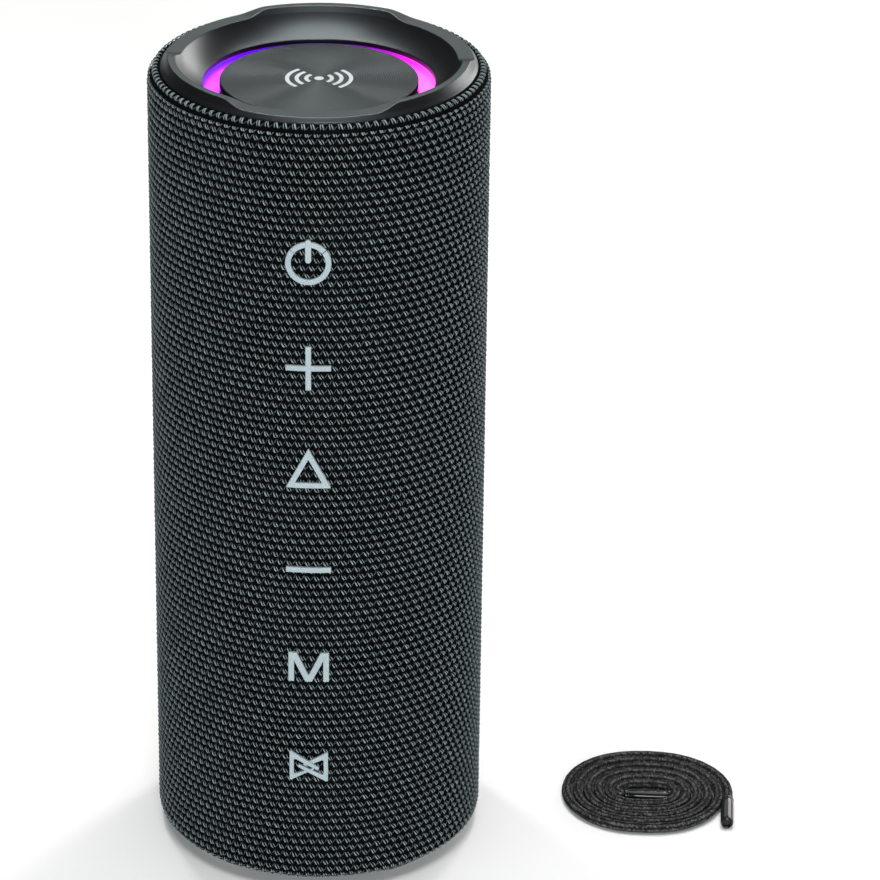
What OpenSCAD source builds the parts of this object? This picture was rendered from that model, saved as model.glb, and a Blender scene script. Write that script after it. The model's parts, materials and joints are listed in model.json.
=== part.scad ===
// Portable shower speaker: a tall knitted cylinder with a wavy bezel and a
// passive radiator on each end, six soft keys down the front, a rubber
// charging flap and a lanyard eye at the back, and a coiled lanyard beside it.
// Millimetres, +Z up, origin at the centre of the footprint, keys face -Y.

/* [Overall] */
// Diameter over the knitted sleeve
body_d = 75; // [74.8:0.1:75.4]
// Height from the lower crests to the upper crests
body_h = 189.2; // [188.6:0.1:192]

/* [Bezels] */
// How far the three low sections sit below the crests
wave_depth = 1.4; // [0.6:0.1:1.6]
// Angle over which a low section rises to a crest
wave_ramp = 12; // [8:1:14]
// Radius of the bowl's inner lip
lip_r = 25.47; // [25.4:0.01:25.5]
// Depth of the bowl's inner lip below the crests
lip_depth = 5.95; // [5.7:0.05:6.2]

/* [Passive radiators] */
// Radius of the visible radiator disc
disc_r = 21.73; // [21.2:0.01:21.8]
// Depth of the disc's face below the crests
disc_depth = 5.54; // [5.2:0.02:5.8]

/* [Keys] */
// Height of the power key's centre
key_top = 155.9; // [155:0.1:156.5]
// Distance from one key to the next
key_pitch = 24.65; // [24:0.05:24.8]
// Side of the square of cloth that moves with a key
key_cloth = 12.6; // [12:0.1:12.8]
// Height of the raised symbols above the cloth
symbol_t = 0.6; // [0.4:0.05:0.9]
// Stroke width of the symbols
stroke = 1.24; // [1:0.02:1.4]

/* [Drivers] */
// Height of the right driver's centre
right_driver_z = 128; // [126:0.5:130]
// Height of the left driver's centre
left_driver_z = 61; // [59:0.5:63]

/* [Back] */
// Height of the charging bay's centre
port_z = 33.6; // [33:0.1:36]
// Height of the lanyard eye's centre
eye_z = 158; // [150:0.5:160]
// Radius of the lanyard bar
eye_bar_r = 1.2; // [1:0.05:1.3]

/* [Lanyard] */
// Diameter of the lanyard cord
cord_d = 2.74; // [2.4:0.02:2.8]
// Width of the coil along X
coil_w = 40.7; // [40:0.1:42]
// Depth of the coil along Y
coil_l = 36.7; // [36:0.1:37]

/* [Hidden] */
$fn = 96;
R = body_d / 2;
H = body_h;
sleeve_t = 0.8;
shoulder_r = 2.7;
shell_ro = 36.5;
shell_ri = 34.9;
tube_ro = 34.4;
tube_ri = 31.9;
key_z = [key_top, key_top - key_pitch, key_top - 2 * key_pitch + 0.7,
         key_top - 3 * key_pitch + 0.4, key_top - 4 * key_pitch + 0.7,
         key_top - 5 * key_pitch];
key_gap = 0.3;
coil_x = 77.3;
coil_y = 9.8;
screw_angles = [0, 60, 120, 180, 240, 300];
led_angles = [for (i = [0:11]) 30 * i + 15];

// ---------- helpers ----------
// Rounded rectangle, centred, drawn from exact squares and circles
module rr(w, h, r) {
  square([w - 2 * r, h], center = true);
  square([w, h - 2 * r], center = true);
  for (x = [-1, 1]) for (y = [-1, 1])
    translate([x * (w / 2 - r), y * (h / 2 - r)]) circle(r, $fn = 32);
}
// A flat stroke with round ends from a to b
module bar2(a, b, w) {
  d = b - a;
  l = norm(d);
  translate(a) rotate(atan2(d[1], d[0])) {
    translate([0, -w / 2]) square([l, w]);
    circle(w / 2, $fn = 32);
    translate([l, 0]) circle(w / 2, $fn = 32);
  }
}
// A flat stroke with square ends from a to b
module bar_sq(a, b, w, ext = 0) {
  d = b - a;
  l = norm(d);
  translate(a) rotate(atan2(d[1], d[0])) translate([-ext, -w / 2]) square([l + 2 * ext, w]);
}
module tri_pt(pts) { polygon(pts); }
// Stand a 2D shape up on the front (-Y) side, from y = -far to y = -near
module front(near, far) {
  translate([0, -near, 0]) rotate([90, 0, 0]) linear_extrude(far - near) children();
}
// Stand a 2D shape up on the back (+Y) side, from y = near to y = far
module back(near, far) {
  translate([0, far, 0]) rotate([90, 0, 0]) linear_extrude(far - near) children();
}
// Ring of a cylinder about Z between two radii
module band(ri, ro, z0, z1) {
  translate([0, 0, z0]) difference() {
    cylinder(r = ro, h = z1 - z0, $fn = 180);
    translate([0, 0, -1]) cylinder(r = ri, h = z1 - z0 + 2, $fn = 180);
  }
}
// Parts of an end are drawn with z as the depth below its crests
module at_top() { translate([0, 0, H]) mirror([0, 0, 1]) children(); }

// ---------- sleeve, shell, enclosure ----------
module sleeve_profile(ro, sr, t) {
  zc = 2.3 + sr;
  difference() {
    union() {
      translate([ro - sr, zc]) circle(sr, $fn = 64);
      translate([ro - sr, H - zc]) circle(sr, $fn = 64);
      translate([ro - sr, zc]) square([sr, H - 2 * zc]);
    }
    translate([ro - sr, zc]) circle(sr - t, $fn = 64);
    translate([ro - sr, H - zc]) circle(sr - t, $fn = 64);
    translate([ro - sr - 1, zc]) square([sr - t + 1, H - 2 * zc]);
    translate([ro - 2 * sr - 1, 0]) square([sr + 1, H]);
  }
}
module fabric_sleeve() {
  color([0.09, 0.10, 0.11]) difference() {
    rotate_extrude($fn = 180) sleeve_profile(R, shoulder_r, sleeve_t);
    for (z = key_z) translate([0, 0, z])
      front(30, 42) rr(key_cloth + 2 * key_gap, key_cloth + 2 * key_gap, 2.5);
    translate([0, 0, port_z]) back(30, 42) rr(16.3, 31.3, 3.1);
    translate([0, 0, eye_z]) back(30, 42) rr(14.9, 14.9, 3.1);
  }
}
module grille_shell() {
  color([0.16, 0.16, 0.17]) difference() {
    band(shell_ri, shell_ro, 5.6, H - 5.6);
    for (z = key_z) translate([0, 0, z]) front(30, 42) rr(14.4, 14.4, 2.5);
    translate([0, 0, port_z]) back(30, 42) rr(16.3, 31.3, 3.1);
    translate([0, 0, eye_z]) back(30, 42) rr(14.9, 14.9, 3.1);
    for (side = [0, 1]) for (i = [-3:3]) for (j = [-1:1])
      rotate([0, 0, 180 * side + 10 * i])
        translate([32, -1.6, (side == 0 ? right_driver_z : left_driver_z) + 13.5 * j - 5.2])
          cube([8, 3.2, 10.4]);
  }
}
// Square boss that carries a driver, before its bores are cut
module driver_boss(z) {
  intersection() {
    translate([22.5, -21.5, z - 21.5]) cube([20, 43, 43]);
    translate([0, 0, z - 22]) cylinder(r = 33, h = 44, $fn = 180);
  }
}
module driver_bores(z) {
  translate([25, 0, z]) rotate([0, 90, 0]) cylinder(r = 19.3, h = 20);
  translate([20, 0, z]) rotate([0, 90, 0]) cylinder(r = 16.9, h = 8);
  for (a = [45, 135, 225, 315]) translate([20, 18.1 * cos(a), z + 18.1 * sin(a)])
    rotate([0, 90, 0]) cylinder(r = 0.63, h = 8, $fn = 24);
}
module enclosure_tube() {
  color([0.12, 0.12, 0.13]) difference() {
    union() {
      band(tube_ri, tube_ro, 9.6, H - 9.6);
      for (t = [0, 1]) translate([0, 0, t * H]) mirror([0, 0, t]) {
        band(29, tube_ri + 0.5, 14, 16.2);
        for (a = screw_angles) rotate([0, 0, a]) translate([30.1, 0, 15.1]) cylinder(r = 2.4, h = 4.4, $fn = 32);
      }
      // floor and end walls of the front key channel
      translate([-11, -30.2, 18]) cube([22, 2, 153]);
      for (z = [17.4, 169]) translate([-11, -33, z]) cube([22, 4.8, 2.6]);
      driver_boss(right_driver_z);
      mirror([1, 0, 0]) driver_boss(left_driver_z);
      // collars that the two back cups sit in
      intersection() {
        union() {
          translate([0, 0, port_z]) back(27.2, 33) rr(19.6, 34.6, 4.6);
          translate([0, 0, eye_z]) back(27.2, 33) rr(18.2, 18.2, 4.6);
        }
        cylinder(r = 33, h = H, $fn = 180);
      }
    }
    translate([-9.5, -42, 20]) cube([19, 11.8, 149]);
    driver_bores(right_driver_z);
    mirror([1, 0, 0]) driver_bores(left_driver_z);
    translate([0, 0, port_z]) back(25, 42) rr(16.1, 31.1, 3.05);
    translate([0, 0, eye_z]) back(25, 42) rr(14.7, 14.7, 3.05);
    for (t = [0, 1]) translate([0, 0, t * H]) mirror([0, 0, t])
      for (a = screw_angles) rotate([0, 0, a]) translate([30.1, 0, 12]) cylinder(r = 1.03, h = 6.8, $fn = 24);
  }
}
module inner_frame() {
  color([0.2, 0.2, 0.21]) {
    difference() {
      translate([-1.5, -28.1, 28]) cube([3, 48, 135]);
      for (z = [40, 76, 112, 148]) translate([-3, -14, z - 10]) rotate([0, 90, 0])
        translate([-20, -8, 0]) linear_extrude(6) translate([10, 8]) rr(16, 12, 3);
      for (z = [61, 95, 128]) translate([-3, 10, z]) rotate([0, 90, 0]) cylinder(r = 5, h = 6, $fn = 48);
    }
    for (s = [-1, 1]) for (k = [0, 1]) difference() {
      zc = s < 0 ? 106 + 40 * k : 38 + 40 * k;
      union() {
        translate([14 * s, 5, zc]) cylinder(r = 10.8, h = 6);
        translate([s < 0 ? -5 : 1.4, 1, zc]) cube([3.6, 8, 6]);
      }
      translate([14 * s, 5, zc - 1]) cylinder(r = 9.35, h = 8);
    }
    for (z = [70, 142]) translate([-4, 16.4, z]) cube([8, 3.5, 4]);
  }
}

// ---------- ends, drawn with z as depth below the crests ----------
function bowl(t) = let (a = [30.44, 1.29], b = [lip_r, lip_depth])
  a + t * (b - a) + 0.35 * 4 * t * (1 - t) * [0.68, 0.73];
function smooth(t) = t * t * (3 - 2 * t);
module bezel_dip() {
  half = 30 - wave_ramp / 2;
  ramp = 33 * wave_ramp * PI / 180;
  rotate([0, 0, -half]) rotate_extrude(angle = 2 * half, $fn = 180)
    translate([27, -2]) square([9, 2 + wave_depth]);
  for (m = [0, 1]) mirror([0, m, 0]) rotate([0, 0, half]) translate([27, 0, 0])
    rotate([90, 0, 90]) linear_extrude(9)
      polygon(concat([[-2, -2], [-2, wave_depth]],
        [for (i = [0:8]) [ramp * i / 8, wave_depth * (1 - smooth(i / 8))]], [[ramp, -2]]));
}
module bezel() {
  color([0.22, 0.24, 0.25]) difference() {
    rotate_extrude($fn = 180) polygon(concat(
      [[34.72, 9.5], [34.72, 2.25], [34.08, 1.52], [33, 0], [31.5, 0]],
      [for (i = [0:5]) bowl(i / 5)],
      [[lip_r, 6.9], [26.5, 6.9], [26.5, 9.5]]));
    for (i = [0:2]) rotate([0, 0, 30 + 120 * i]) bezel_dip();
  }
}
module channel_ring() {
  rotate_extrude($fn = 144) polygon([[22.1, 8.8], [25.35, 8.8], [25.35, 6.95], [26.4, 6.95],
    [26.4, 9.55], [28.4, 9.55], [28.4, 10.95], [27.2, 10.95], [27.2, 10.1], [22.1, 10.1]]);
}
module end_frame() {
  color([0.14, 0.14, 0.15]) difference() {
    rotate_extrude($fn = 144) polygon([[21, 10.55], [22, 10.55], [22, 12], [31.7, 12],
      [31.7, 13.95], [21, 13.95]]);
    for (a = screw_angles) rotate([0, 0, a]) translate([30.1, 0, 11]) cylinder(r = 1.12, h = 4, $fn = 24);
  }
}
module surround_ring() {
  color([0.06, 0.06, 0.06]) rotate_extrude($fn = 144) {
    translate([20.7, 9.9]) square([1.3, 0.6]);
    translate([13.5, 9.9]) square([2.6, 0.6]);
    difference() {
      translate([18.4, 10.2]) circle(2.5, $fn = 48);
      translate([18.4, 10.2]) circle(1.9, $fn = 48);
      translate([15, 7]) square([7, 3.2]);
    }
  }
}
module radiator_disc() {
  color([0.34, 0.36, 0.37]) rotate_extrude($fn = 144)
    polygon([[0, disc_depth], [disc_r - 0.3, disc_depth], [disc_r, disc_depth + 0.3],
      [disc_r, 6.9], [15.8, 6.9], [15.8, 9.88], [12, 9.88], [12, 6.9], [0, 6.9]]);
}
module radiator_weight() {
  color([0.5, 0.5, 0.5]) translate([0, 0, 6.92]) cylinder(r = 11.7, h = 2.7, $fn = 96);
}
module one_end_screws() {
  for (a = screw_angles) rotate([0, 0, a]) translate([30.1, 0, 0]) {
    difference() {
      translate([0, 0, 10.9]) cylinder(r = 1.5, h = 1.08, $fn = 32);
      translate([0, 0, 10]) cylinder(r = 0.7, h = 1.5, $fn = 6);
    }
    translate([0, 0, 11.9]) cylinder(r = 1, h = 6, $fn = 24);
  }
}
module top_bezel() { at_top() bezel(); }
module bottom_bezel() { bezel(); }
module top_light_guide() { color([0.85, 0.35, 0.95]) at_top() channel_ring(); }
module bottom_trim_ring() { color([0.12, 0.12, 0.13]) channel_ring(); }
module top_frame() { at_top() end_frame(); }
module bottom_frame() { end_frame(); }
module top_surround() { at_top() surround_ring(); }
module bottom_surround() { surround_ring(); }
module top_disc() { at_top() radiator_disc(); }
module bottom_disc() { radiator_disc(); }
module top_weight() { at_top() radiator_weight(); }
module bottom_weight() { radiator_weight(); }
module top_led_board() {
  color([0.05, 0.3, 0.15]) at_top() band(22.4, 28.4, 11, 11.95);
}
module top_leds() {
  color([0.95, 0.95, 0.85]) at_top() for (a = led_angles)
    rotate([0, 0, a]) translate([23.2, -1, 10.32]) cube([2, 2, 0.66]);
}
module end_screws() {
  color([0.55, 0.55, 0.56]) { at_top() one_end_screws(); one_end_screws(); }
}

// ---------- drivers, drawn firing along +X at z = 0 ----------
module at_right() { translate([0, 0, right_driver_z]) children(); }
module at_left() { translate([0, 0, left_driver_z]) mirror([1, 0, 0]) children(); }
module lathe_x() { rotate([0, 90, 0]) rotate_extrude($fn = 96) children(); }
module basket() {
  color([0.25, 0.25, 0.26]) difference() {
    lathe_x() polygon([[19, 26.5], [19, 25.05], [16.7, 25.05], [16.2, 23.5], [12.9, 17.3],
      [12.9, 15.6], [7.4, 15.6], [7.4, 16.8], [11.6, 16.8], [12, 17.6], [15.2, 24],
      [15.2, 25.2], [16.4, 25.2], [16.4, 26.5]]);
    for (a = [45, 135, 225, 315]) translate([24, 18.1 * cos(a), 18.1 * sin(a)])
      rotate([0, 90, 0]) cylinder(r = 0.66, h = 4, $fn = 24);
    for (a = [0, 90, 180, 270]) rotate([a, 0, 0]) translate([18.4, -4, 11.5]) cube([4, 8, 6]);
  }
}
module magnet() {
  color([0.6, 0.6, 0.62]) lathe_x() polygon([[0, 6.8], [13, 6.8], [13, 15.55], [7.7, 15.55],
    [7.7, 8.6], [6.2, 8.6], [6.2, 15.55], [0, 15.55]]);
}
module driver_surround() {
  color([0.05, 0.05, 0.05]) lathe_x() {
    translate([15.7, 25.25]) square([0.7, 0.5]);
    difference() {
      translate([14.75, 25.25]) circle(1.25, $fn = 32);
      translate([14.75, 25.25]) circle(0.8, $fn = 32);
      translate([13, 23]) square([4, 2.25]);
    }
  }
}
module cone() {
  color([0.1, 0.1, 0.1]) lathe_x() polygon([[6.75, 10.6], [7.15, 10.6], [7.15, 18.6],
    [13.2, 24.9], [13.2, 25.4], [12.9, 25.4], [6.75, 19.1]]);
}
module dust_cap() {
  color([0.16, 0.16, 0.17]) lathe_x() difference() {
    translate([0, 12.2]) circle(10.2, $fn = 64);
    translate([0, 12.2]) circle(9.8, $fn = 64);
    translate([-12, 0]) square([24, 19.5]);
    translate([-12, 0]) square([12, 30]);
  }
}
module one_driver_screws() {
  for (a = [45, 135, 225, 315]) translate([0, 18.1 * cos(a), 18.1 * sin(a)]) rotate([0, 90, 0]) {
    translate([0, 0, 26.52]) cylinder(r = 1, h = 0.7, $fn = 24);
    translate([0, 0, 22.8]) cylinder(r = 0.6, h = 3.8, $fn = 24);
  }
}
module right_basket() { at_right() basket(); }
module left_basket() { at_left() basket(); }
module right_magnet() { at_right() magnet(); }
module left_magnet() { at_left() magnet(); }
module right_surround() { at_right() driver_surround(); }
module left_surround() { at_left() driver_surround(); }
module right_cone() { at_right() cone(); }
module left_cone() { at_left() cone(); }
module right_dust_cap() { at_right() dust_cap(); }
module left_dust_cap() { at_left() dust_cap(); }
module driver_screws() {
  color([0.55, 0.55, 0.56]) { at_right() one_driver_screws(); at_left() one_driver_screws(); }
}

// ---------- battery and boards ----------
module cell() {
  cylinder(r = 9.25, h = 64.2);
  translate([0, 0, 64.2]) cylinder(r = 3, h = 0.9);
}
module battery_cells() {
  color([0.15, 0.35, 0.6]) {
    translate([-14, 5, 97]) cell();
    translate([14, 5, 29]) cell();
  }
}
module main_board() {
  color([0.05, 0.3, 0.15]) {
    translate([0, 0, 106]) back(20, 21.2) difference() {
      rr(38, 84, 2);
      for (x = [-16, 16]) for (y = [-39, 39]) translate([x, y]) circle(1.1, $fn = 24);
    }
    for (p = [[-8, 118, 9, 9, 1.1], [7, 122, 6, 6, 0.9], [6, 100, 7, 7, 3.6], [-9, 98, 5, 5, 3.2],
              [-7, 80, 8, 5, 1], [8, 80, 4, 9, 4.4], [0, 138, 12, 6, 1.4]])
      translate([p[0] - p[2] / 2, 21.1, p[1] - p[3] / 2]) cube([p[2], p[4] + 0.1, p[3]]);
  }
}
module key_board() {
  color([0.05, 0.3, 0.15]) translate([-8, -31.2, 22]) cube([16, 0.98, 145]);
}
module key_switches() {
  color([0.75, 0.75, 0.75]) for (z = key_z) translate([0, 0, z]) {
    translate([-2.25, -32.4, -2.25]) cube([4.5, 1.19, 4.5]);
    front(32.3, 32.85) circle(1, $fn = 24);
  }
}

// ---------- symbols, as flat shapes seen from the front ----------
module power_shape() {
  difference() { circle(4.97); circle(4.97 - stroke); }
  bar2([0, 0.75], [0, 4.75], stroke + 0.06);
}
module plus_shape() {
  square([9.9, stroke], center = true);
  square([stroke, 10.3], center = true);
}
module play_shape() {
  difference() {
    polygon([[-5, -4.8], [5, -4.8], [0, 4.8]]);
    polygon([[-2.95, -3.55], [2.95, -3.55], [0, 2.1]]);
  }
}
module minus_shape() { square([10, stroke], center = true); }
module mode_shape() {
  difference() {
    square([9.1, 7.2], center = true);
    polygon([[-2.7, 3.7], [2.7, 3.7], [0, -2.45]]);
    polygon([[-3.25, -3.7], [-3.25, 1.55], [-0.75, -3.7]]);
    polygon([[3.25, -3.7], [3.25, 1.55], [0.75, -3.7]]);
  }
}
module pair_shape() {
  for (s = [-1, 1]) difference() {
    polygon([[-4.45 * s, 4], [-4.45 * s, -4], [1.6 * s, -0.35], [1.6 * s, 0.35]]);
    polygon([[-3.35 * s, 2.35], [-3.35 * s, -2.35], [-0.1 * s, -0.3], [-0.1 * s, 0.3]]);
  }
  bar_sq([-3.6, 3.1], [2.3, -0.6], 0.95);
  bar_sq([3.6, -3.1], [-2.3, 0.6], 0.95);
}
module key_icon(z) {
  color([0.68, 0.75, 0.78]) translate([0, 0, z]) intersection() {
    front(30, 44) children();
    band(R + 0.01, R + symbol_t, -8, 8);
  }
}
module key_cloth_at(z) {
  color([0.09, 0.10, 0.11]) translate([0, 0, z]) intersection() {
    front(30, 44) rr(key_cloth, key_cloth, 2.2);
    band(R - sleeve_t, R, -8, 8);
  }
}
module key_cap_at(z) {
  color([0.2, 0.2, 0.2]) translate([0, 0, z]) {
    intersection() {
      front(30, 44) rr(key_cloth - 0.2, key_cloth - 0.2, 2.1);
      band(34.7, R - sleeve_t - 0.02, -8, 8);
    }
    front(33.4, 34.9) circle(1.4, $fn = 24);
  }
}
module power_icon() { key_icon(key_z[0]) power_shape(); }
module plus_icon() { key_icon(key_z[1]) plus_shape(); }
module play_icon() { key_icon(key_z[2]) play_shape(); }
module minus_icon() { key_icon(key_z[3]) minus_shape(); }
module mode_icon() { key_icon(key_z[4]) mode_shape(); }
module pair_icon() { key_icon(key_z[5]) pair_shape(); }
module power_cloth() { key_cloth_at(key_z[0]); }
module plus_cloth() { key_cloth_at(key_z[1]); }
module play_cloth() { key_cloth_at(key_z[2]); }
module minus_cloth() { key_cloth_at(key_z[3]); }
module mode_cloth() { key_cloth_at(key_z[4]); }
module pair_cloth() { key_cloth_at(key_z[5]); }
module power_cap() { key_cap_at(key_z[0]); }
module plus_cap() { key_cap_at(key_z[1]); }
module play_cap() { key_cap_at(key_z[2]); }
module minus_cap() { key_cap_at(key_z[3]); }
module mode_cap() { key_cap_at(key_z[4]); }
module pair_cap() { key_cap_at(key_z[5]); }

// ---------- charging bay ----------
flap_z0 = port_z - 13.7 + 2.1;
module port_cup() {
  color([0.12, 0.12, 0.13]) translate([0, 0, port_z]) difference() {
    intersection() {
      back(29.6, 42) rr(16, 31, 3);
      translate([0, 0, -20]) cylinder(r = R - 0.05, h = 40, $fn = 180);
    }
    back(31.2, 42) rr(13, 27.4, 2);
    translate([0, 0, 5]) back(29, 33) rr(9.1, 3.4, 1.65);
  }
}
module flap_face() {
  top = port_z + 13.4;
  translate([-6.2, flap_z0]) square([12.4, top - flap_z0 - 1.8]);
  translate([-4.4, flap_z0]) square([8.8, top - flap_z0]);
  for (x = [-4.4, 4.4]) translate([x, top - 1.8]) circle(1.8, $fn = 32);
}
module port_flap() {
  color([0.1, 0.1, 0.11]) {
    intersection() {
      back(35.6, 42) flap_face();
      cylinder(r = R + symbol_t, h = 80, $fn = 180);
    }
    translate([-6.2, 36.6, flap_z0]) rotate([0, 90, 0]) cylinder(r = 1, h = 12.4, $fn = 48);
  }
}
module usb_socket() {
  color([0.75, 0.75, 0.77]) translate([0, 0, port_z + 5]) {
    difference() {
      back(24.2, 31.2) rr(8.94, 3.26, 1.6);
      back(25.2, 32) rr(8.34, 2.66, 1.3);
    }
    back(25.1, 30.7) square([6.7, 0.7], center = true);
    translate([-7, 23.2, -5]) cube([14, 1.02, 10]);
  }
}

// ---------- lanyard eye ----------
module lanyard_cup() {
  color([0.12, 0.12, 0.13]) translate([0, 0, eye_z]) difference() {
    intersection() {
      back(28.2, 42) rr(14.6, 14.6, 3);
      translate([0, 0, -10]) cylinder(r = R - 0.05, h = 20, $fn = 180);
    }
    back(29.7, 42) rr(11.6, 11.6, 2);
    translate([-6.8, 35.4, 0]) rotate([0, 90, 0]) cylinder(r = eye_bar_r + 0.02, h = 13.6, $fn = 48);
  }
}
module lanyard_bar() {
  color([0.7, 0.7, 0.72]) translate([-6.75, 35.4, eye_z]) rotate([0, 90, 0])
    cylinder(r = eye_bar_r, h = 13.5, $fn = 48);
}

// ---------- coiled lanyard ----------
tip_l = 11;
tip_r = 1.52;
module tip(l) {
  rotate([0, 90, 0]) {
    cylinder(r = tip_r, h = l, center = true, $fn = 32);
  }
}
module lanyard_coil() {
  color([0.05, 0.05, 0.05]) difference() {
    linear_extrude(cord_d) translate([coil_x, coil_y]) {
      e = (coil_w - coil_l) / 2;
      for (s = [-1, 1]) translate([s * e, 0]) circle(coil_l / 2);
      square([2 * e, coil_l], center = true);
    }
    translate([coil_x - 0.2, coil_y - 2.2, -1]) linear_extrude(5) rr(15, 4.4, 2.1);
    translate([coil_x + 16.9, coil_y - 16, -1]) cube([6, 12.4, 6]);
  }
}
module lanyard_tips() {
  color([0.08, 0.08, 0.08]) {
    translate([coil_x - 0.1, coil_y - 2.3, tip_r]) tip(tip_l);
    translate([coil_x + 18.7, coil_y - 9.3, tip_r]) rotate([0, 0, 90]) tip(tip_l);
  }
}

fabric_sleeve();
grille_shell();
enclosure_tube();
inner_frame();
top_bezel();
top_light_guide();
top_led_board();
top_leds();
top_frame();
top_surround();
top_disc();
top_weight();
bottom_bezel();
bottom_trim_ring();
bottom_frame();
bottom_surround();
bottom_disc();
bottom_weight();
end_screws();
right_basket();
right_magnet();
right_surround();
right_cone();
right_dust_cap();
left_basket();
left_magnet();
left_surround();
left_cone();
left_dust_cap();
driver_screws();
battery_cells();
main_board();
key_board();
key_switches();
power_icon();
power_cloth();
power_cap();
plus_icon();
plus_cloth();
plus_cap();
play_icon();
play_cloth();
play_cap();
minus_icon();
minus_cloth();
minus_cap();
mode_icon();
mode_cloth();
mode_cap();
pair_icon();
pair_cloth();
pair_cap();
port_cup();
port_flap();
usb_socket();
lanyard_cup();
lanyard_bar();
lanyard_coil();
lanyard_tips();
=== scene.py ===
import bpy
import bmesh
import json
import math
import numpy as np
from mathutils import Matrix, Vector

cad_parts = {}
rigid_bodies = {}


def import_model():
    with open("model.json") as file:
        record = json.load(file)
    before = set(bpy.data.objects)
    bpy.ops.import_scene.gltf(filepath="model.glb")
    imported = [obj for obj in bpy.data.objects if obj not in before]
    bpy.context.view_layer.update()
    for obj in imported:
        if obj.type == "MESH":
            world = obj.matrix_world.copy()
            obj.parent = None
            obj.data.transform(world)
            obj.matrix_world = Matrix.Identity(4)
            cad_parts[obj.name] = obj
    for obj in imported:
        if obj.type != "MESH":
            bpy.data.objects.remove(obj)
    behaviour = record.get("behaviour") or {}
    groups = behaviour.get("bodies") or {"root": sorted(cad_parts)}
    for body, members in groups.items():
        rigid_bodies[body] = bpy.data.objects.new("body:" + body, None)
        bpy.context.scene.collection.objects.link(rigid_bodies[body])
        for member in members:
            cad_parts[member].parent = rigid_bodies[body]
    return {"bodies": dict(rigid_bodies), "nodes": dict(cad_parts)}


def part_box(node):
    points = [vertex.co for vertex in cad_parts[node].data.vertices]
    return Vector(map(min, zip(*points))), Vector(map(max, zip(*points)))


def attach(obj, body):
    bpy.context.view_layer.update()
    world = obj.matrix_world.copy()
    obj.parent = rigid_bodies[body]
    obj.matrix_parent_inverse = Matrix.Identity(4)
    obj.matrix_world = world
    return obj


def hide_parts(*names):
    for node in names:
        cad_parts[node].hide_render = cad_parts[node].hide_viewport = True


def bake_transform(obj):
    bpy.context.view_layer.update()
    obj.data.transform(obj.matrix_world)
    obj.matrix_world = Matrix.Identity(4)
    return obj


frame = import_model()
NODES, BODIES = frame["nodes"], frame["bodies"]
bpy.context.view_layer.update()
scene = bpy.context.scene
MM = 0.001

# ------------------------------------------------------------------ measures
s_lo, s_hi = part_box("fabric_sleeve")
b_lo, b_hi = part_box("top_bezel")
R = (s_hi[0] - s_lo[0]) / 2 / MM            # 37.5 over the knit
H = b_hi[2] / MM                            # 189.2 to the crests
Z0, Z1 = s_lo[2] / MM, s_hi[2] / MM         # the knit's lower and upper edges
SR = 2.7                                    # the knit's shoulder radius
KEYS = ["power", "plus", "play", "minus", "mode", "pair"]
KEY_Z = []
for k in KEYS:
    a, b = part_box(k + "_cloth")
    KEY_Z.append((a[2] + b[2]) / 2 / MM)
KEY_A, KEY_B = 6.3, 10.2                    # half size that moves whole, and where the cloth is still again
p_lo, p_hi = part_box("port_cup")
e_lo, e_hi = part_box("lanyard_cup")
PORT = (0.0, (p_lo[2] + p_hi[2]) / 2 / MM, 8.0, 15.5, 3.0)      # x, z, half width, half height, corner
EYE = (0.0, (e_lo[2] + e_hi[2]) / 2 / MM, 7.3, 7.3, 3.0)
c_lo, c_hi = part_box("lanyard_coil")
COIL = ((c_lo[0] + c_hi[0]) / 2 / MM, (c_lo[1] + c_hi[1]) / 2 / MM)

# ------------------------------------------------------------------ camera
cam_data = bpy.data.cameras.new("camera")
cam = bpy.data.objects.new("camera", cam_data)
scene.collection.objects.link(cam)
cam_data.sensor_width = 36
cam_data.lens = 4464.3 * 36 / 880
cam_data.shift_x = (440 - 319.07) / 880
cam_data.clip_start, cam_data.clip_end = 0.01, 50
az, el, dist, zt = math.radians(3.54), math.radians(25.60), 1.0128, 0.09606
back = Vector((math.sin(az) * math.cos(el), -math.cos(az) * math.cos(el), math.sin(el)))
cam.location = Vector((0, 0, zt)) + back * dist
cam.rotation_euler = (-back).to_track_quat("-Z", "Y").to_euler()
scene.camera = cam
scene.view_settings.view_transform = "Standard"


# ------------------------------------------------------------------ mesh helpers (millimetres in)
def mesh_object(name, verts, faces, mats=(), smooth=True, mat_index=None, attrs=None):
    """A mesh from arrays: verts (n, 3) in mm, faces a list of (m, k) arrays."""
    me = bpy.data.meshes.new(name)
    v = np.asarray(verts, np.float64) * MM
    me.vertices.add(len(v))
    me.vertices.foreach_set("co", v.astype(np.float32).ravel())
    blocks = [np.asarray(f, np.int64) for f in (faces if isinstance(faces, (list, tuple)) else [faces]) if len(f)]
    loops = np.concatenate([b.ravel() for b in blocks])
    sizes = np.concatenate([np.full(len(b), b.shape[1]) for b in blocks])
    starts = np.concatenate([[0], np.cumsum(sizes)[:-1]])
    me.loops.add(len(loops))
    me.loops.foreach_set("vertex_index", loops.astype(np.int32))
    me.polygons.add(len(sizes))
    me.polygons.foreach_set("loop_start", starts.astype(np.int32))
    me.polygons.foreach_set("use_smooth", np.full(len(sizes), bool(smooth)))
    if mat_index is not None:
        me.polygons.foreach_set("material_index", np.asarray(mat_index, np.int32))
    for m in mats:
        me.materials.append(m)
    me.update(calc_edges=True)
    me.validate()
    for key, val in (attrs or {}).items():
        val = np.asarray(val, np.float32)
        if val.ndim == 1:
            at = me.attributes.new(key, "FLOAT", "POINT")
            at.data.foreach_set("value", val)
        else:
            at = me.attributes.new(key, "FLOAT_VECTOR", "POINT")
            at.data.foreach_set("vector", val.ravel())
    ob = bpy.data.objects.new(name, me)
    scene.collection.objects.link(ob)
    return ob


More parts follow.
